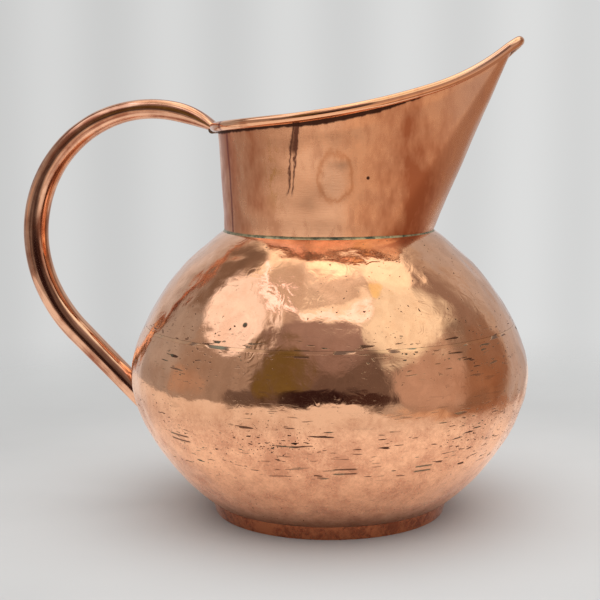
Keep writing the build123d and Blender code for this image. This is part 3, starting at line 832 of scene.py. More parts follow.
def turned_piece(name, profile, outside, inside=None, **values):
    """A piece of revolution from its half section."""
    size = bpy.context.scene.jug_body
    piece = link(name, profile.mesh(name))
    given = {"Steps Around": size.around, "Axis": AXIS, "Outside": outside, "Inside": inside or outside}
    given.update(values)
    return baked(piece, node_group("Turned and beaten sheet", turned_group), given)


def node_group(name, maker):
    """The geometry node group with this name, made on its first use."""
    return bpy.data.node_groups.get(name) or maker()


class HandleLine:
    """The handle's centre line in the plane of the jug, from its pinched tip to the belly."""

    def __init__(self, size, hem):
        self.size = size
        tip = (hem[0] - size.setback, hem[2] - size.drop)
        turn = size.tip
        self.centre = (tip[0] - size.bow * math.cos(turn), tip[1] - size.bow * math.sin(turn))
        step = size.bow - size.ease
        turn = size.ease_start
        self.ease = (self.centre[0] + step * math.cos(turn), self.centre[1] + step * math.sin(turn))
        self.last = math.tau * 0.75 - size.run_slope
        self.direction = (math.cos(size.run_slope), -math.sin(size.run_slope))

    def on_bow(self, turn):
        """Place and outward direction at an angle round the bow."""
        size = self.size
        centre, radius = (self.centre, size.bow) if turn < size.ease_start else (self.ease, size.ease)
        out = (math.cos(turn), math.sin(turn))
        return (centre[0] + radius * out[0], centre[1] + radius * out[1]), out

    def half_sizes(self, turn):
        """Half the thickness and half the width at an angle round the bow."""
        size = self.size
        if turn > size.taper_start:
            return size.tube / 2, size.tube / 2
        part = (size.taper_start - turn) / (size.taper_start - size.taper_end)
        if part <= 1:
            tube = size.tube + (size.slim - size.tube) * part * part * (3 - 2 * part)
            return tube / 2, tube / 2
        part = (size.taper_end - turn) / (size.taper_end - size.tip)
        thick = size.slim + (size.tip_thickness - size.slim) * part * part
        wide = size.slim + (size.tip_width - size.slim) * part * part
        return thick / 2, wide / 2

    def mesh(self, name, bow_steps=260, run_steps=70):
        """A line of points with the tube's sizes stored on them."""
        size = self.size
        rows = []
        for i in range(bow_steps + 1):
            turn = size.tip + (self.last - size.tip) * i / bow_steps
            place, out = self.on_bow(turn)
            rows.append((place, out, *self.half_sizes(turn), 0.0))
        start, out = rows[-1][0], rows[-1][1]
        for i in range(1, run_steps + 1):
            run = size.run * i / run_steps
            place = (start[0] + self.direction[0] * run, start[1] + self.direction[1] * run)
            rows.append((place, out, size.tube / 2, size.tube / 2, run))
        points = [(r[0][0] + AXIS_X, 0.0, r[0][1]) for r in rows]
        mesh = bpy.data.meshes.new(name)
        mesh.from_pydata(points, [(i, i + 1) for i in range(len(points) - 1)], [])
        keep_vectors(mesh, "centre", points)
        keep_vectors(mesh, "across", [(r[1][0], 0.0, r[1][1]) for r in rows])
        for column, label in enumerate(("thick", "wide", "run"), 2):
            keep(mesh, label, [r[column] for r in rows])
        return mesh


# Materials: sizes and heights are in metres and bearings in degrees, and each noise has its seed


def empty_tree(owner):
    """The emptied node tree of a new material or world."""
    owner.use_nodes = True
    owner.node_tree.nodes.clear()
    return Tree(owner.node_tree)


def metal(name):
    """The jug's metal with this name, laid out on its first use."""
    found = bpy.data.materials.get("jug_" + name)
    if found:
        return found
    material = bpy.data.materials.new("jug_" + name)
    tree = empty_tree(material)
    place = tree.vector("SUBTRACT", tree.node("ShaderNodeTexCoord")["Object"], AXIS)
    inputs = METALS[name](tree, place, bpy.context.scene.jug_finish)
    surface = tree.node("ShaderNodeBsdfPrincipled", {}, inputs)[0]
    tree.node("ShaderNodeOutputMaterial", {}, {"Surface": surface})
    return material


def bare(tree, base, roughness, relief, metallic=1.0):
    """Inputs of the Principled shader for bare metal, with a fine relief in metres."""
    bump = {"Strength": 1.0, "Distance": 1.0, "Height": relief}
    normal = tree.node("ShaderNodeBump", {}, bump)[0]
    return {"Base Color": base, "Metallic": metallic, "Roughness": roughness, "Normal": normal}


def height_of(tree, place):
    """Height of a place above the table."""
    return tree.node("ShaderNodeSeparateXYZ", {}, {"Vector": place})["Z"]


def stored(tree, name, output="Fac"):
    """A value that geometry nodes stored on the mesh."""
    settings = {"attribute_name": name, "attribute_type": "GEOMETRY"}
    return tree.node("ShaderNodeAttribute", settings)[output]


def bearing(tree, place):
    """Direction of a place round the jug in degrees: 0 towards the front, 90 towards the spout."""
    parts = tree.node("ShaderNodeSeparateXYZ", {}, {"Vector": place})
    return parts["X"].math("ARCTAN2", parts["Y"] * -1) * math.degrees(1)


def dashes(tree, place, length, thin, seed, low, high):
    """Mask of flat marks that lie round the body, about this long and thin, in metres."""
    marks = tree.noise(place, length, seed, 1.0, 0.4, (1.0, 1.0, length / thin))
    return marks.step(low, high)


# Middle of a pair of grooves, the direction they run in and half their length
GROOVES = (
    ((0.0264, -0.0868, 0.0420), 0.29, 0.0055),
    ((0.0585, -0.0682, 0.0408), 0.71, 0.0045),
    ((-0.0532, -0.0790, 0.0519), -0.60, 0.0070),
    ((0.0081, -0.0930, 0.0950), 0.09, 0.0035),
)
# How far the two grooves of a pair lie above and below its middle, and how wide each is
GROOVE_ABOVE, GROOVE_BELOW, GROOVE_WIDTH = 0.0013, -0.0011, 0.0004
# Bands of marks round the body: the middle height of each and its spread, in metres
LAP_BAND = (0.0975, 0.0030)
UPPER_BAND = (0.089, 0.008)
BRIGHT_BAND = (0.082, 0.009)
LOWER_BAND = (0.058, 0.012)
LOWEST_BAND = (0.0405, 0.003)
# Bearings where marks are many or few: the middle of each and its spread, in degrees
RIGHT_SIDE = (52.0, 22.0)
CLEAN_FRONT = (18.0, 24.0)
PITTED_FRONT = (-6.0, 14.0)
# Middle of the one deep pit near the girth
BODY_PIT = (-0.0198, -0.0844, 0.1063)


def scars(tree, place):
    """Mask of the dark marks in the body: long dashes in bands, and pits that gather in patches."""
    height, turn = height_of(tree, place), bearing(tree, place)
    patch = tree.noise(place, 0.045, 31.0, 1.0)
    right = turn.bell(*RIGHT_SIDE)
    upper = height.bell(*LAP_BAND) + height.bell(*UPPER_BAND) * (patch.step(0.50, 0.60) + right)
    lower = height.bell(*LOWEST_BAND) + height.bell(*LOWER_BAND) * (patch.step(0.46, 0.56) + right)
    long = dashes(tree, place, length=0.010, thin=0.0012, seed=32.0, low=0.645, high=0.67)
    long = long * (upper + lower).clamp()
    short = dashes(tree, place, length=0.0034, thin=0.0011, seed=33.0, low=0.67, high=0.70)
    gather = tree.noise(place, 0.03, 34.0, 1.0).step(0.42, 0.58)
    gather = gather + turn.bell(*PITTED_FRONT) * height.bell(0.059, 0.008)
    gather = gather + right * height.bell(0.088, 0.011)
    short = short * gather * (height.bell(0.056, 0.017) + height.bell(0.093, 0.012) * 0.8).clamp()
    pits = tree.noise(place, 0.0014, 35.0, 1.0).step(0.70, 0.73) * (gather * 0.8 + 0.15)
    fine = tree.noise(place, 0.0008, 36.0, 1.0).step(0.66, 0.70) * gather * height.bell(0.057, 0.011)
    marks = long
    for others in (short, pits, fine, *grooves(tree, place, patch)):
        marks = marks.math("MAXIMUM", others)
    front = turn.bell(*CLEAN_FRONT) * height.bell(*BRIGHT_BAND)
    marks = marks * (1 - front.clamp() * 0.8)
    return marks.math("MAXIMUM", tree.vector("DISTANCE", place, BODY_PIT).step(0.0016, 0.0008))


def grooves(tree, place, patch):
    """Masks of the pairs of long grooves, which waver with a noise."""
    for centre, turn, half in GROOVES:
        away = tree.vector("SUBTRACT", place, centre)
        along = tree.vector("DOT_PRODUCT", away, (math.cos(turn), math.sin(turn), 0.0))
        up = height_of(tree, away) + (patch - 0.5) * 0.003
        lines = up.bell(GROOVE_ABOVE, GROOVE_WIDTH) + up.bell(GROOVE_BELOW, GROOVE_WIDTH)
        yield (lines * (along / half).math("ABSOLUTE").step(1.1, 0.8)).clamp()


# Centre of an upright stain and how far it reaches each way, as one over metres
BODY_STAINS = (
    ((0.002, -0.0986, 0.061), (200.0, 30.0, 80.0)),
    ((0.028, -0.0930, 0.053), (170.0, 30.0, 75.0)),
    ((0.092, -0.0378, 0.0744), (40.0, 100.0, 110.0)),
    ((-0.066, -0.0730, 0.0790), (90.0, 90.0, 120.0)),
    ((0.055, 0.0800, 0.060), (60.0, 60.0, 80.0)),
)
# Tarnish of the lower body, which is duller than above
LOW_TARNISH = (0.55, 0.255, 0.155)


def body_tarnish(tree, place, grain, low):
    """How brown the body is: clouds and specks, more of both low down, and the upright stains."""
    cloud = tree.noise(place, 0.032, 1.0, 4.0, 0.6)
    speck = tree.noise(place, 0.0011, 10.0, 2.0, 0.6)
    drift = (cloud * 0.5 + grain * 0.5 - 0.46) * (low * 2.6 + 2.4) + (speck - 0.5) * low * 1.2
    stain = None
    for centre, reach in BODY_STAINS:
        away = tree.vector("MULTIPLY", tree.vector("SUBTRACT", place, centre), reach)
        mark = tree.vector("LENGTH", away).step(1.25, 0.7)
        stain = mark if stain is None else stain.math("MAXIMUM", mark)
    return (drift + low * 0.22 + stain * 0.30).clamp() * 0.8


def body_relief(tree, place, scar):
    """Height of the body's scratches, ripples, scars and the swirls left by polishing."""
    brush = tree.noise(place, 0.0016, 5.0, 3.0, 0.6, (0.22, 0.22, 2.0))
    ripple = tree.noise(place, 0.0055, 7.0, 2.0, 0.5, None, 1.6)
    swirl = (tree.noise(place, 0.011, 8.0, 0.5, 0.5, None, 1.2) * 34.0).math("SINE")
    swirl = swirl * tree.noise(place, 0.03, 9.0, 0.5).step(0.48, 0.60)
    return brush * 0.000006 + ripple * 0.00006 + swirl * 0.000012 - scar * 0.00004


def copper_body(tree, place, finish):
    """Polished copper that is duller below the belly, dark in its scars, and dark at the foot with oxide and
    painted shade.
    """
    height = height_of(tree, place)
    low, foot = height.step(0.074, 0.060), height.step(0.021, 0.007)
    grain = tree.noise(place, 0.006, 2.0, 5.0, 0.65)
    tarnish = body_tarnish(tree, place, grain, low)
    scar = scars(tree, place)
    green = tree.noise(place, 0.012, 6.0, 1.0).step(0.52, 0.60)
    base = tree.blend(tarnish, finish.body, tree.blend(low, finish.tarnish, LOW_TARNISH))
    base = tree.blend(scar * 0.95, base, tree.blend(green * 0.5, finish.oxide_and_shade, finish.verdigris))
    # Dark oxide near the foot, which also paints the shade where the body curves in to the foot ring
    base = tree.blend(foot * 0.6, base, finish.oxide_and_shade)
    rough = grain * 0.08 + tarnish * 0.12 + low * 0.09 + scar * 0.4 + foot * 0.25 + 0.065
    return bare(tree, base, rough, body_relief(tree, place, scar))


# Middles of the round stain and of the small pit beside it
NECK_STAIN = (0.0144, -0.0513, 0.1705)
NECK_PIT = (0.0286, -0.0450, 0.1703)
# Slope that opens the neck's face a little more downwards
NECK_FLARE = 0.085
# Bearings of the marks on the neck and their spreads, in degrees
BROWN_FLANK = (57.0, 12.0)
CLEAN_PATCH = (8.0, 20.0)
BROWN_BACK = (-30.0, 6.5)
FAR_BACK = (120.0, 40.0)
SPOUT_FRONT = (80.0, 9.0)
STREAK_PLACE = (-16.0, 4.0)
STRIPE_PLACE = (-50.0, 1.1)
# Colours of the marks on the neck, of the painted highlight at the spout and of the painted reflection lines
# on the roll
NECK_TARNISH = (0.50, 0.16, 0.07)
# Pale pink painted highlight at the spout's front
SPOUT_EDGE_HIGHLIGHT = (0.86, 0.60, 0.47)
STAIN_RIM = (0.62, 0.24, 0.10)
STAIN_MIDDLE = (0.98, 0.62, 0.42)
YELLOW_STREAK = (0.66, 0.34, 0.09)
RED_STRIPE = (0.25, 0.04, 0.02)
DARK_RUN = (0.11, 0.035, 0.025)
# Dark lines painted on the roll, a painted reflection
ROLL_PAINTED_REFLECTION_LINES = (0.30, 0.11, 0.06)


class NeckFields:
    """What the marks on the neck are laid out by: where a place is, two noises and the roll."""

    def __init__(self, tree, place):
        self.place = place
        self.turn = bearing(tree, place)
        self.high = height_of(tree, place)
        self.cloud = tree.noise(place, 0.026, 11.0, 4.0, 0.55, (1.0, 1.0, 0.55))
        self.grain = tree.noise(place, 0.006, 12.0, 4.0, 0.6, (1.5, 1.5, 0.7))
        self.bead = stored(tree, "bead")


def neck_tarnish(neck):
    """How brown the neck is: clouds, and the flanks of the spout and the back."""
    side = neck.turn.math("ABSOLUTE")
    drift = (neck.cloud * 0.6 + neck.grain * 0.4 - 0.5) * 3.6 + 0.18
    flank = side.bell(*BROWN_FLANK) * (neck.cloud - 0.22) * 2.4
    clean = side.step(70, 78) * 0.2 + neck.turn.bell(*CLEAN_PATCH) * 0.12
    back = neck.turn.bell(*BROWN_BACK) * neck.high.step(0.150, 0.158) * 0.55
    back = back + side.bell(*FAR_BACK) * 0.25
    return (drift + flank - clean + back - neck.bead * 0.5).clamp() * 0.9


def neck_marks(tree, neck, base):
    """The base colour with the round stain, the yellow streak and the red stripe on it."""
    away = tree.vector("SUBTRACT", neck.place, NECK_STAIN)
    away = tree.vector("MULTIPLY", away, (130.0, 60.0, 88.0))
    oval = tree.vector("LENGTH", away) + (neck.grain - 0.5) * 0.9
    base = tree.blend(oval.bell(1.0, 0.13) * 0.55, base, STAIN_RIM)
    base = tree.blend(oval.step(0.9, 0.5) * 0.3, base, STAIN_MIDDLE)
    streak = neck.turn.bell(*STREAK_PLACE) * neck.high.bell(0.172, 0.013) * neck.grain.step(0.46, 0.56)
    base = tree.blend(streak * 0.5, base, YELLOW_STREAK)
    stripe = (neck.turn + (neck.cloud - 0.5) * 5).bell(*STRIPE_PLACE)
    return tree.blend(stripe * 0.95, base, RED_STRIPE)


def dark_run(neck):
    """Mask of the run of solder that leans down from under the roll and forks."""
    aside = neck.turn + 5.4 - (neck.high - 0.178) * 130.0 + (neck.grain - 0.5) * 6.0
    run = aside.bell(0.2, 1.4) * neck.high.step(0.180, 0.184)
    run = run + aside.bell(1.1, 0.5) + aside.bell(-1.4, 0.5)
    return (run * neck.high.step(0.161, 0.165)).clamp() * (1 - neck.bead)


def painted_roll_shade_and_pit(tree, neck):
    """Mask of the painted shade under the roll: its underside and a band below it, with the small pit."""
    depth = neck.turn.bell(20.0, 34.0) * 0.0012 + (neck.cloud - 0.5) * 0.003 + (neck.grain - 0.5) * 0.002
    # Painted shade: a band about 3.4 mm deep below the roll, wavering with the noises
    edge = ((depth + 0.0034 - stored(tree, "drop")) / 0.0007 + 0.5).clamp()
    pit = tree.vector("DISTANCE", neck.place, NECK_PIT).step(0.0011, 0.0005)
    return stored(tree, "under").math("MAXIMUM", edge).math("MAXIMUM", pit)


def neck_relief(tree, neck):
    """Height of the neck's brush strokes and ripples, and of its flare."""
    brush = tree.noise(neck.place, 0.0014, 15.0, 3.0, 0.6, (2.0, 2.0, 0.3))
    weave = tree.noise(neck.place, 0.0016, 16.0, 2.0, 0.6, (0.3, 0.3, 2.5))
    ripple = tree.noise(neck.place, 0.0055, 17.0, 2.0, 0.5, (1.0, 1.0, 0.6), 0.5)
    return (brush + weave) * 0.000012 + ripple * 0.00004 + neck.high * NECK_FLARE


def copper_neck(tree, place, finish):
    """Satin copper with a stain, stripes, a dark run and painted shade under the roll; a painted highlight at
    the spout; a bright roll with painted lines.
    """
    neck = NeckFields(tree, place)
    tarnish = neck_tarnish(neck)
    base = tree.blend(tarnish, finish.neck, NECK_TARNISH)
    # Painted highlight: paler, pinker copper round the spout's front
    base = tree.blend(neck.turn.bell(*SPOUT_FRONT) * 0.5, base, SPOUT_EDGE_HIGHLIGHT)
    base = neck_marks(tree, neck, base)
    base = tree.blend(dark_run(neck) * 0.92, base, DARK_RUN)
    # Painted shade under the roll, in the dark oxide colour, with the small pit
    roll_shade_and_pit = painted_roll_shade_and_pit(tree, neck)
    base = tree.blend(roll_shade_and_pit * 0.98, base, finish.oxide_and_shade)
    # worn holds the angle round the roll; dark lines are painted at 88 and 14 degrees round it, a painted
    # reflection of dark bands
    worn = stored(tree, "turn")
    lines = worn.bell(88.0, 9.0) * 0.65 + worn.bell(14.0, 6.0) * 0.35
    base = tree.blend(lines * neck.bead, base, ROLL_PAINTED_REFLECTION_LINES)
    rough = neck.grain * 0.12 + tarnish * 0.10 + roll_shade_and_pit * 0.3 + 0.19 - neck.bead * 0.17
    return bare(tree, base, rough, neck_relief(tree, neck))


# Half the thickness of the handle's tube, which its stored section is measured in
HANDLE_RING = 0.0066
# Share of the jug's own coordinates in the handle's stripes, which keeps them long
STRIPE_DRIFT = 0.05
# Brown of the handle: tarnish, and in part a painted reflection of dark stripes and a dark core
HANDLE_TARNISH_AND_REFLECTION = (0.38, 0.14, 0.08)
HANDLE_SCRATCH = (0.30, 0.10, 0.05)


def copper_handle(tree, place, finish):
    """Polished copper with brown stripes along the tube, darker towards its top: tarnish, and in part painted
    reflection.
    """
    ring = tree.vector("SCALE", stored(tree, "ring", "Vector"), HANDLE_RING)
    along = tree.vector("ADD", ring, tree.vector("SCALE", place, STRIPE_DRIFT))
    stripe = tree.noise(along, 0.0022, 51.0, 3.0, 0.6)
    fine = tree.noise(along, 0.0007, 52.0, 2.0, 0.6)
    cloud = tree.noise(place, 0.014, 53.0, 4.0, 0.6)
    # Painted reflection in part: the stripes along the tube and the darker top stand partly for what the tube
    # mirrors
    mix = (stripe - 0.5) * 3.4 + (cloud - 0.5) * 2.6 + height_of(tree, place) * 2.6 + 0.02
    mix = mix.clamp()
    base = tree.blend(mix, finish.handle, HANDLE_TARNISH_AND_REFLECTION)
    base = tree.blend(fine.step(0.60, 0.72) * 0.5, base, HANDLE_SCRATCH)
    return bare(tree, base, mix * 0.12 + 0.07, stripe * 0.00006 + fine * 0.00001)


# Second tone of the copper that is rubbed over the girth seam
RUBBED_COPPER = (0.90, 0.54, 0.32)


def girth_braze(tree, place, finish):
    """Brazing that is worn flush and polished with the copper, green where it is open."""
    crack = dashes(tree, place, length=0.012, thin=0.004, seed=41.0, low=0.58, high=0.64)
    green = tree.noise(place, 0.012, 6.0, 1.0).step(0.48, 0.60)
    dark = tree.blend(green, finish.oxide_and_shade, finish.verdigris)
    grain = tree.noise(place, 0.006, 42.0, 3.0, 0.6)
    base = tree.blend(grain.step(0.4, 0.65) * 0.4, finish.copper, RUBBED_COPPER)
    base = tree.blend(crack * 0.85, base, dark)
    return bare(tree, base, crack * 0.3 + 0.09, crack * -0.0002, crack * -0.6 + 1.0)


def two_toned(tree, place, base, worn, size, roughness, metallic=1.0, relief=0.00005):
    """A metal whose colour drifts between two tones, in patches of about this size."""
    cloud = tree.noise(place, size, 21.0, 4.0, 0.6)
    fine = tree.noise(place, size / 6, 22.0, 3.0, 0.6)
    mix = (cloud * 0.6 + fine * 0.4).step(0.40, 0.62)
    base = tree.blend(mix, base, worn)
    return bare(tree, base, mix * 0.12 + roughness, fine * relief, metallic)


# Second tones of the metals whose colour drifts
DULL_TIN = (0.30, 0.27, 0.24)
FOOT_TARNISH = (0.27, 0.09, 0.05)
GREEN_BRASS = (0.07, 0.10, 0.07)


def tin(tree, place, finish):
    return two_toned(tree, place, finish.tin, DULL_TIN, 0.02, 0.34)


def copper_foot(tree, place, finish):
    return two_toned(tree, place, finish.foot, FOOT_TARNISH, 0.014, 0.2, relief=0.00003)


def braze(tree, place, finish):
    return two_toned(tree, place, finish.brass, GREEN_BRASS, 0.004, 0.30, 0.8)


def solder(tree, place, finish):
    return two_toned(tree, place, finish.solder, finish.oxide_and_shade, 0.005, 0.35)


def iron(tree, place, finish):
    return two_toned(tree, place, finish.iron, finish.oxide_and_shade, 0.01, 0.45)


METALS = {
    "copper_body": copper_body,
    "copper_neck": copper_neck,
    "copper_handle": copper_handle,
    "copper_foot": copper_foot,
    "girth_braze": girth_braze,
    "braze": braze,
    "solder": solder,
    "tin": tin,
    "iron": iron,
}


# Pieces


class PieceOperator(bpy.types.Operator):
    """Base of the operators that make a piece of the jug."""

    bl_options = {"REGISTER", "UNDO"}

    def done(self, piece, slot, *nodes):
        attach(piece, "root")
        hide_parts(*nodes)
        return {"FINISHED"}


def body_outline():
    """The body's outline, with the normal angles of the lap and of the two edges of its seam."""
    size = bpy.context.scene.jug_body
    outline = Outline(size)
    outline.girth = outline.turn_at_height(size.girth_height)
    outline.step = outline.girth - size.girth_step / size.shoulder_arc
    outline.lap = outline.girth + size.girth_lap / size.shoulder_arc
    return outline


def beating():
    """Depths of the hammer's marks, the same in every piece of the body."""
    finish = bpy.context.scene.jug_finish
    return {"Wave": finish.beat, "Dish": finish.dish, "Dents": 1.0}


def smooth(value, low, high):
    """Smooth step from 0 at low to 1 at high."""
    t = min(1.0, max(0.0, (value - low) / (high - low)))
    return t * t * (3 - 2 * t)


def base_rows(profile, outline, depth, lined, count=20, knuckle_count=12):
    """Base and knuckle from the axis outwards, this deep below the outer face."""
    size = outline.size
    rim = outline.knuckle[0]
    dome = (rim**2 + size.base_rise**2) / (2 * size.base_rise)
    top = size.base_lift + depth + size.base_rise
    for i in range(count):
        r = rim * i / count
        profile.add((r, top - dome + math.sqrt(dome**2 - r**2)), lined=lined)
    start = -math.pi / 2
    for i in range(knuckle_count + 1):
        turn = start + (outline.knuckle_angle - start) * i / knuckle_count
        reach = size.knuckle - depth
        place = (rim + reach * math.cos(turn), outline.knuckle[1] + reach * math.sin(turn))
        profile.add(place, lined=lined)


# A second row this close to each end keeps the shading of an edge sharp
EDGE_ROW = 0.00008


def skin_rows(profile, outline, start, end, count, depth=0.0, lined=0.0, fade=None):
    """Rows along the outline between two normal angles, with one more close to each end."""
    near = EDGE_ROW / outline.size.shoulder_arc / abs(end - start)
    for part in sorted({i / count for i in range(count + 1)} | {near, 1 - near}):
        turn = start + (end - start) * part
        seat = outline.point(turn)
        free = fade(seat[1]) if fade else 1.0
        out = (math.cos(turn) * free, math.sin(turn) * free)
        profile.add(outline.point(turn, depth), seat, out, lined)


class JUG_OT_bowl(PieceOperator):
    """Makes the lower body shell with its base"""

    bl_idname = "jug.bowl"
    bl_label = "Bowl"
    # The relief fades in over this height above the foot
    fade_height = 0.012

    def execute(self, context):
        size = context.scene.jug_body
        outline = body_outline()
        inset = size.sheet + size.lap_gap

        def fade(z):
            return smooth(z, size.foot_height, size.foot_height + self.fade_height)

        profile = Profile()
        base_rows(profile, outline, 0.0, 0.0)
        skin_rows(profile, outline, outline.knuckle_angle, outline.step, 88, fade=fade)
        skin_rows(profile, outline, outline.girth, outline.lap, 6, inset)
        skin_rows(profile, outline, outline.lap, outline.girth, 6, inset + size.sheet, 1.0)
        skin_rows(profile, outline, outline.step, outline.knuckle_angle, 26, size.sheet, 1.0, fade)
        inner = Profile()
        base_rows(inner, outline, size.sheet, 1.0)
        profile.rows += inner.rows[::-1]
        piece = turned_piece("jug_bowl", profile, metal("copper_body"), metal("tin"), **beating())
        return self.done(piece, "copper_body", "bowl")


class JUG_OT_shoulder(PieceOperator):
    """Makes the upper body shell with its collar"""

    bl_idname = "jug.shoulder"
    bl_label = "Shoulder"
    # The relief fades in between these depths below the neck's foot
    fade_depths = (0.001, 0.009)

    def execute(self, context):
        size, neck = context.scene.jug_body, context.scene.jug_neck
        outline = body_outline()
        radius = neck.radius - neck.sheet - size.solder_gap
        root = outline.shoulder_height(radius)
        high = outline.turn_at_height(root)
        inside = radius - size.sheet
        inner_arc = size.shoulder_arc - size.sheet
        inner_high = math.acos((inside - outline.shoulder[0]) / inner_arc)
        low = outline.girth + size.solder_gap / size.shoulder_arc

        def fade(z):
            return smooth(root - z, *self.fade_depths)

        profile = Profile()
        skin_rows(profile, outline, low, high, 90, fade=fade)
        for r, lined in ((radius, 0.0), (inside, 1.0)):
            profile.add((r, root + size.collar_height), lined=lined)
        skin_rows(profile, outline, inner_high, low, 45, size.sheet, 1.0, fade)
        profile.close()
        piece = turned_piece("jug_shoulder", profile, metal("copper_body"), metal("tin"), **beating())
        return self.done(piece, "copper_body", "shoulder")


class JUG_OT_girth(PieceOperator):
    """Makes the brass line in the girth seam"""

    bl_idname = "jug.girth"
    bl_label = "Girth seam"

    def execute(self, context):
        size = context.scene.jug_body
        outline = body_outline()
        gap = size.solder_gap / size.shoulder_arc
        start, end = outline.step + gap, outline.girth - gap
        profile = Profile()
        skin_rows(profile, outline, start, end, 3)
        out = (math.cos(end), math.sin(end))
        profile.add(outline.point(end, size.sheet - size.solder_gap), outline.point(end), out)
        profile.close()
        piece = turned_piece("jug_girth_braze", profile, metal("girth_braze"), **beating())
        return self.done(piece, "braze", "girth_braze")


class JUG_OT_foot(PieceOperator):
    """Makes the foot ring"""

    bl_idname = "jug.foot"
    bl_label = "Foot ring"
    # The strip ends this far below the ring's full height outside, and above the base's level inside
    below_top = 0.0001
    above_base = 0.0008
    outer_steps, inner_steps, edge_steps = 16, 8, 4
    wave = 0.00004

    def execute(self, context):
        size = context.scene.jug_body
        outline = body_outline()
        bottom = outline.bowl_radius(size.foot_height) - size.foot_flare
        edge, strip = size.foot_edge, size.foot_strip
        slope = size.foot_flare / size.foot_height
        profile = Profile()

        def side(z, inset=0.0, inwards=0.0, down=0.0):
            """Adds a place on the outer face at a height, or moved from there."""
            profile.add((bottom + slope * z - inset + inwards, z - down), out=(1.0, 0.0))

        outer_top = size.foot_height - self.below_top
        for i in range(self.outer_steps + 1):
            side(edge + (outer_top - edge) * i / self.outer_steps)
        inner_top = size.base_lift + self.above_base
        for i in range(self.inner_steps + 1):
            side(inner_top + (edge - inner_top) * i / self.inner_steps, strip)
        turns = [math.pi / 2 * i / self.edge_steps for i in range(self.edge_steps + 1)]
        for turn in turns[1:]:
            side(edge, strip, edge * (1 - math.cos(turn)), edge * math.sin(turn))
        for turn in turns:
            side(edge, 0.0, edge * (math.sin(turn) - 1), edge * math.cos(turn))
        profile.close()
        piece = turned_piece("jug_foot_ring", profile, metal("copper_foot"), Wave=self.wave)
        return self.done(piece, "copper_foot", "foot_ring")


class JUG_OT_neck(PieceOperator):
    """Makes the neck with its spout and rolled rim"""

    bl_idname = "jug.neck"
    bl_label = "Neck and spout"
    # Shares of the body's waves and hammer marks that the neck has
    wave_share = 0.35
    dish_share = 0.3

    def execute(self, context):
        neck, finish = context.scene.jug_neck, context.scene.jug_finish
        form = NeckForm(neck, body_outline())
        piece = link("jug_neck", form.mesh("jug_neck"))
        values = {"Wave": finish.beat * self.wave_share, "Dish": finish.dish * self.dish_share}
        values.update({"Axis": AXIS, "Seed": 5.0})
        values.update({"Outside": metal("copper_neck"), "Inside": metal("tin")})
        piece = baked(piece, node_group("Beaten neck sheet", sheet_group), values)
        return self.done(piece, "copper_neck", "neck")


class JUG_OT_neck_braze(PieceOperator):
    """Makes the uneven line of brazing at the foot of the neck"""

    bl_idname = "jug.neck_braze"
    bl_label = "Neck brazing"
    # The line's lower edge lies this far inside the shoulder
    sink = 0.0001
    # The back of the line ends this share of its size below its upper edge
    back_share = 0.6
    steps = 6
    wave = 0.0002

    def execute(self, context):
        neck = context.scene.jug_neck
        outline = body_outline()
        outer = neck.radius + neck.braze
        low = outline.shoulder_height(outer) - self.sink
        high = outline.shoulder_height(neck.radius - neck.sheet) + neck.braze
        profile = Profile()
        for i in range(self.steps + 1):
            t = i / self.steps
            sag = neck.braze_sag * math.sin(math.pi * t)
            place = (outer + (neck.radius - outer) * t - sag, low + (high - low) * t - sag)
            profile.add(place, out=(0.7, 0.7))
        middle = neck.radius - neck.sheet / 2
        profile.add((middle, high - neck.braze * self.back_share))
        profile.add((middle, outline.shoulder_height(middle)))
        profile.close()
        piece = turned_piece("jug_neck_braze", profile, metal("braze"), Wave=self.wave)
        return self.done(piece, "braze", "neck_braze")


class JUG_OT_handle(PieceOperator):
    """Makes the handle, from its pinched tip at the rim to the belly"""

    bl_idname = "jug.handle"
    bl_label = "Handle"

    def execute(self, context):
        size, neck = context.scene.jug_handle, context.scene.jug_neck
        form = NeckForm(neck, body_outline())
        hem = form.hem_centre(*form.back_ruling())
        line = HandleLine(size, hem)
        piece = link("jug_handle", line.mesh("jug_handle"))
        direction = Vector((line.direction[0], 0, line.direction[1]))
        values = {"Body": bpy.data.objects["jug_bowl"], "Run Direction": direction}
        values.update({"Run Length": size.run, "Longest": size.run + size.overrun})
        values.update({"Outside": metal("copper_handle"), "Seed": 7.0})
        piece = baked(piece, node_group("Handle tube", handle_group), values)
        return self.done(piece, "copper_handle", "handle")


class JUG_OT_metals(bpy.types.Operator):
    """Gives the solders and the wire their metals"""

    bl_idname = "jug.metals"
    bl_label = "Solder and wire"
    metals = {
        "foot_solder": "solder",
        "handle_base_solder": "solder",
        "handle_top_solder": "solder",
        "rim_wire": "iron",
    }

    def execute(self, context):
        for name, kind in self.metals.items():
            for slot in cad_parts[name].material_slots:
                slot.material = metal(kind)
        return {"FINISHED"}


# Table, light and camera


# Tone of the room low down, and the elevations between which it turns to each next tone
LOW_TONE = (0.50, 0.45, 0.41)
ROOM_TONES = (
    (20, 60, (0.64, 0.56, 0.48)),
    (70, 78, (0.95, 0.88, 0.80)),
    (79, 84, (2.0, 1.8, 1.5)),
)
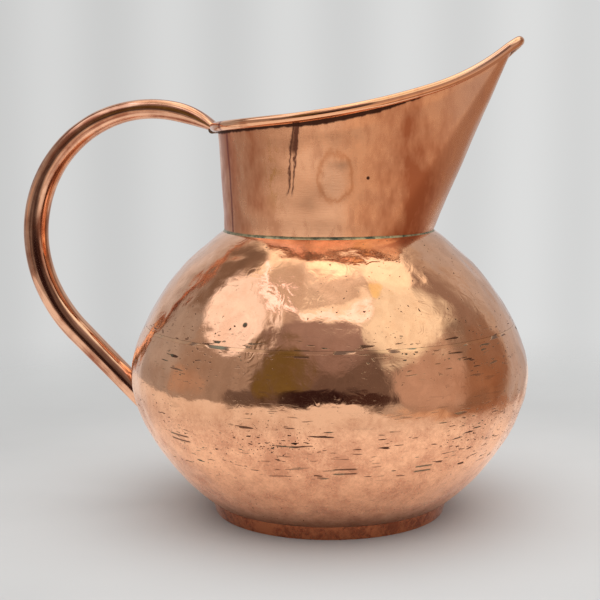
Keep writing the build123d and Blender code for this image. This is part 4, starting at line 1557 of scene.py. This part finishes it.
# Middle and half size in degrees of azimuth and elevation, softness, power, colour; azimuth 0 is
# in front, 90 is beyond the spout, and what stands behind is given for both 180 and -180
SURROUNDINGS = (
    ((-92, 10), (38, 30), 0.4, 4, (0.41, 0.40, 0.40)),
    ((-60, 12), (26, 26), 0.6, 3, (0.36, 0.31, 0.28)),
    ((92, 14), (42, 34), 0.4, 4, (0.23, 0.19, 0.165)),
    ((74, 10), (25, 26), 0.8, 2.5, (0.54, 0.41, 0.35)),
    ((115, 3), (20, 20), 1.1, 2, (0.34, 0.20, 0.13)),
    ((122, 44), (17, 25), 0.9, 2, (0.30, 0.23, 0.20)),
    ((-78, 5), (12, 9), 0.9, 2, (0.48, 0.36, 0.29)),
    ((180, 15), (37, 40), 0.5, 4, (0.52, 0.50, 0.50)),
    ((-180, 15), (52, 40), 0.5, 4, (0.64, 0.64, 0.66)),
    ((180, 66), (92, 15), 0.6, 3, (1.5, 1.4, 1.2)),
    ((-180, 66), (92, 15), 0.6, 3, (1.5, 1.4, 1.2)),
    ((-110, 45), (14, 18), 0.6, 2, (0.20, 0.15, 0.12)),
    ((8, 24), (42, 34), 0.45, 4, (0.155, 0.115, 0.10)),
    ((10, 50), (40, 17), 1.1, 3, (0.36, 0.28, 0.27)),
    ((-16, 22), (14, 18), 0.95, 2.5, (0.17, 0.125, 0.04)),
    ((6, 2), (25, 13), 0.9, 2.5, (0.03, 0.013, 0.013)),
    ((35, 0), (14, 7), 0.95, 2.5, (0.06, 0.03, 0.025)),
    ((-36, 0), (10, 10), 0.6, 3, (0.14, 0.11, 0.10)),
    ((-69, 45), (33, 14), 0.42, 2.6, (1.18, 1.16, 1.20)),
    ((77, 46), (32, 16), 0.95, 2.4, (1.12, 1.14, 1.0)),
    ((76, 63), (14, 4), 0.8, 2, (1.1, 0.95, 0.50)),
    ((20, 63), (42, 8), 0.8, 3, (1.15, 1.12, 1.0)),
    ((-66, 62.5), (38, 1.8), 0.6, 4, (1.8, 1.6, 1.8)),
    ((18, 60.5), (38, 2.6), 0.6, 4, (1.7, 1.5, 1.6)),
)
# The floor that the copper mirrors, with a paler patch in front: its middle, half size and so on
FLOOR_AHEAD = ((28, -20), (52, 60), 0.4, 3)
FLOOR_COLOUR = (0.40, 0.24, 0.16)
FLOOR_AHEAD_COLOUR = (0.78, 0.57, 0.42)
# Elevations between which the room gives way to the floor
FLOOR_EDGE = (-13.0, -18.0)
# Brightness that the folds of the background add, and that it gains to the right
FOLD_LIGHT = 0.05
RIGHT_LIGHT = 0.10


def sky_patch(azimuth, elevation, middle, half, soft, power):
    """Mask of a soft-edged patch of the surroundings, by azimuth and elevation in degrees."""
    across = ((azimuth - middle[0]) / half[0]).math("ABSOLUTE") ** power
    up = ((elevation - middle[1]) / half[1]).math("ABSOLUTE") ** power
    return (across + up).step(1.0 + soft, 1.0 - soft)


def mirrored_room(tree, way, azimuth, elevation):
    """The room as the copper mirrors it: tones by elevation, soft patches and the floor."""
    room = LOW_TONE
    for low, high, tone in ROOM_TONES:
        room = tree.blend(elevation.step(low, high), room, tone)
    for middle, half, soft, power, paint in SURROUNDINGS:
        room = tree.blend(sky_patch(azimuth, elevation, middle, half, soft, power), room, paint)
    cloud = tree.noise(way, 0.09, 61.0, 3.0, 0.6, (1.0, 1.0, 0.5))
    room = tree.shade(room, cloud * 0.8 + 0.6)
    floor = tree.blend(sky_patch(azimuth, elevation, *FLOOR_AHEAD), FLOOR_COLOUR, FLOOR_AHEAD_COLOUR)
    return tree.blend(elevation.step(*FLOOR_EDGE), room, floor)


def background(tree, stage, turn, right):
    """The pale paper behind the table, with soft upright folds and more light to the right."""
    wave = (turn * (math.tau / stage.fold) + stage.fold_turn).math("COSINE")
    return tree.shade(stage.paper, wave * FOLD_LIGHT + right.step(-0.5, 0.03) * RIGHT_LIGHT + 0.95)


# The table mesh reaches this far each way
TABLE_REACH = 4.0
# The table fades out over this distance in the mirrored view
TABLE_FADE = 0.03
# Distances between which the table gives way to the background in the camera's view
TABLE_END = (0.25, 0.6)
# The table as the copper mirrors it is painted paler than as seen, a painted light
PAINTED_LIGHT_MIRRORED_TABLE = (0.72, 0.67, 0.63)
# Distances between which painted light makes the table paler towards the jug, as seen and as mirrored,
# lifting the jug's shadow
SEEN_PAINTED_LIGHT = (0.28, 0.14)
MIRRORED_PAINTED_LIGHT = (0.22, 0.10)


def table_paint(tree, stage, place, far, side, glossy):
    """Colour of the table as seen, with painted light paler to the right and round the jug, or as mirrored,
    paler still.
    """
    mottle = tree.noise(place, 0.05, 1.0, 3.0) * 0.05 + 0.975
    # Painted light: the table as seen is paler to the right and round the jug
    seen = tree.shade(stage.table, mottle * (far.step(*SEEN_PAINTED_LIGHT) * 0.17 + side * 0.14 + 1.0))
    # Painted light: the mirrored table is paler round the jug
    mirrored = tree.shade(PAINTED_LIGHT_MIRRORED_TABLE, far.step(*MIRRORED_PAINTED_LIGHT) * 0.34 + 1.0)
    return tree.blend(glossy, seen, mirrored)


# One large lamp over the table, in front and to the right, which the copper doesn't mirror
LAMP_PLACE = Vector((0.15, -0.25, 1.6))
LAMP_SIZE = 2.6
LAMP_POWER = 26.0
LAMP_COLOUR = (1.0, 0.99, 0.98)

CAMERA_PLACE = Vector((0.17986, -0.66536, 0.20229))
CAMERA_SENSOR = 36
NEAREST_SEEN = 0.01


class JUG_OT_stage(bpy.types.Operator):
    """Makes the table, the light and the camera"""

    bl_idname = "jug.stage"
    bl_label = "Stage"

    def execute(self, context):
        stage = context.scene.jug_stage
        self.surroundings(context.scene, stage)
        self.table(stage)
        self.lamp()
        self.camera(context.scene, stage)
        context.scene.view_settings.view_transform = "Standard"
        return {"FINISHED"}

    def surroundings(self, scene, stage):
        world = bpy.data.worlds.new("room")
        scene.world = world
        tree = empty_tree(world)
        way = tree.node("ShaderNodeTexCoord")["Generated"]
        parts = tree.node("ShaderNodeSeparateXYZ", {}, {"Vector": way})
        turn = parts["X"].math("ARCTAN2", parts["Y"] * -1)
        azimuth = turn * math.degrees(1)
        elevation = parts["Z"].math("ARCSINE") * math.degrees(1)
        mirrored = tree.node("ShaderNodeLightPath")["Is Glossy Ray"]
        paper = background(tree, stage, turn, parts["X"])
        light = tree.blend(mirrored, paper, mirrored_room(tree, way, azimuth, elevation))
        shader = tree.node("ShaderNodeBackground", {}, {"Color": light, "Strength": 1.0})[0]
        tree.node("ShaderNodeOutputWorld", {}, {"Surface": shader})

    def table(self, stage):
        mesh = bpy.data.meshes.new("table")
        corners = [(x * TABLE_REACH, y * TABLE_REACH, 0) for x, y in ((-1, -1), (1, -1), (1, 1), (-1, 1))]
        mesh.from_pydata(corners, [], [(0, 1, 2, 3)])
        table = link("table", mesh)
        material = bpy.data.materials.new("table")
        tree = empty_tree(material)
        place = tree.node("ShaderNodeTexCoord")["Object"]
        far = tree.vector("LENGTH", tree.vector("SUBTRACT", place, AXIS))
        side = tree.node("ShaderNodeSeparateXYZ", {}, {"Vector": place})["X"]
        light = tree.node("ShaderNodeLightPath")
        glossy = light["Is Glossy Ray"]
        paint = table_paint(tree, stage, place, far, side, glossy)
        solid = tree.node("ShaderNodeBsdfDiffuse", {}, {"Color": paint})[0]
        clear = tree.node("ShaderNodeBsdfTransparent")[0]
        gone = far.step(stage.near, stage.near + TABLE_FADE)
        gone = gone.math("MAXIMUM", side.step(stage.side, stage.side + TABLE_FADE)) * glossy
        gone = gone + far.step(*TABLE_END) * light["Is Camera Ray"]
        surface = tree.node("ShaderNodeMixShader", {}, {0: gone, 1: solid, 2: clear})[0]
        tree.node("ShaderNodeOutputMaterial", {}, {"Surface": surface})
        mesh.materials.append(material)

    def lamp(self):
        light = bpy.data.lights.new("over", "AREA")
        light.shape = "SQUARE"
        light.size = LAMP_SIZE
        light.energy = LAMP_POWER
        light.color = LAMP_COLOUR
        lamp = link("over", light)
        lamp.location = LAMP_PLACE
        lamp.rotation_euler = (-LAMP_PLACE).to_track_quat("-Z", "Y").to_euler()
        lamp.visible_glossy = False
        lamp.visible_camera = False

    def camera(self, scene, stage):
        data = bpy.data.cameras.new("camera")
        data.lens = stage.lens
        data.sensor_width = CAMERA_SENSOR
        data.clip_start = NEAREST_SEEN
        camera = link("camera", data)
        turn = Matrix.Rotation(stage.camera_turn, 4, "Z")
        tilt = Matrix.Rotation(math.pi / 2 - stage.camera_tilt, 4, "X")
        roll = Matrix.Rotation(stage.camera_roll, 4, "Z")
        camera.matrix_world = Matrix.Translation(CAMERA_PLACE) @ turn @ tilt @ roll
        scene.camera = camera


class JUG_PT_panel(bpy.types.Panel):
    """Lists the jug's pieces and sizes in the sidebar"""

    bl_label = "Copper jug"
    bl_idname = "JUG_PT_panel"
    bl_space_type = "VIEW_3D"
    bl_region_type = "UI"
    bl_category = "Jug"

    def draw(self, context):
        for operator in OPERATORS:
            self.layout.operator(operator.bl_idname)
        for name, kind in GROUPS.items():
            box = self.layout.box()
            box.label(text=kind.__doc__)
            for key in kind.__annotations__:
                box.prop(getattr(context.scene, name), key)


OPERATORS = (
    JUG_OT_bowl,
    JUG_OT_shoulder,
    JUG_OT_girth,
    JUG_OT_foot,
    JUG_OT_neck,
    JUG_OT_neck_braze,
    JUG_OT_handle,
    JUG_OT_metals,
    JUG_OT_stage,
)


def register():
    for kind in (*GROUPS.values(), *OPERATORS, JUG_PT_panel):
        bpy.utils.register_class(kind)
    for name, kind in GROUPS.items():
        setattr(bpy.types.Scene, name, PointerProperty(type=kind))


def unregister():
    for name in GROUPS:
        delattr(bpy.types.Scene, name)
    for kind in (JUG_PT_panel, *reversed(OPERATORS), *reversed(GROUPS.values())):
        bpy.utils.unregister_class(kind)


def main():
    register()
    for operator in OPERATORS:
        group, name = operator.bl_idname.split(".")
        getattr(getattr(bpy.ops, group), name)()


if __name__ == "__main__":
    main()
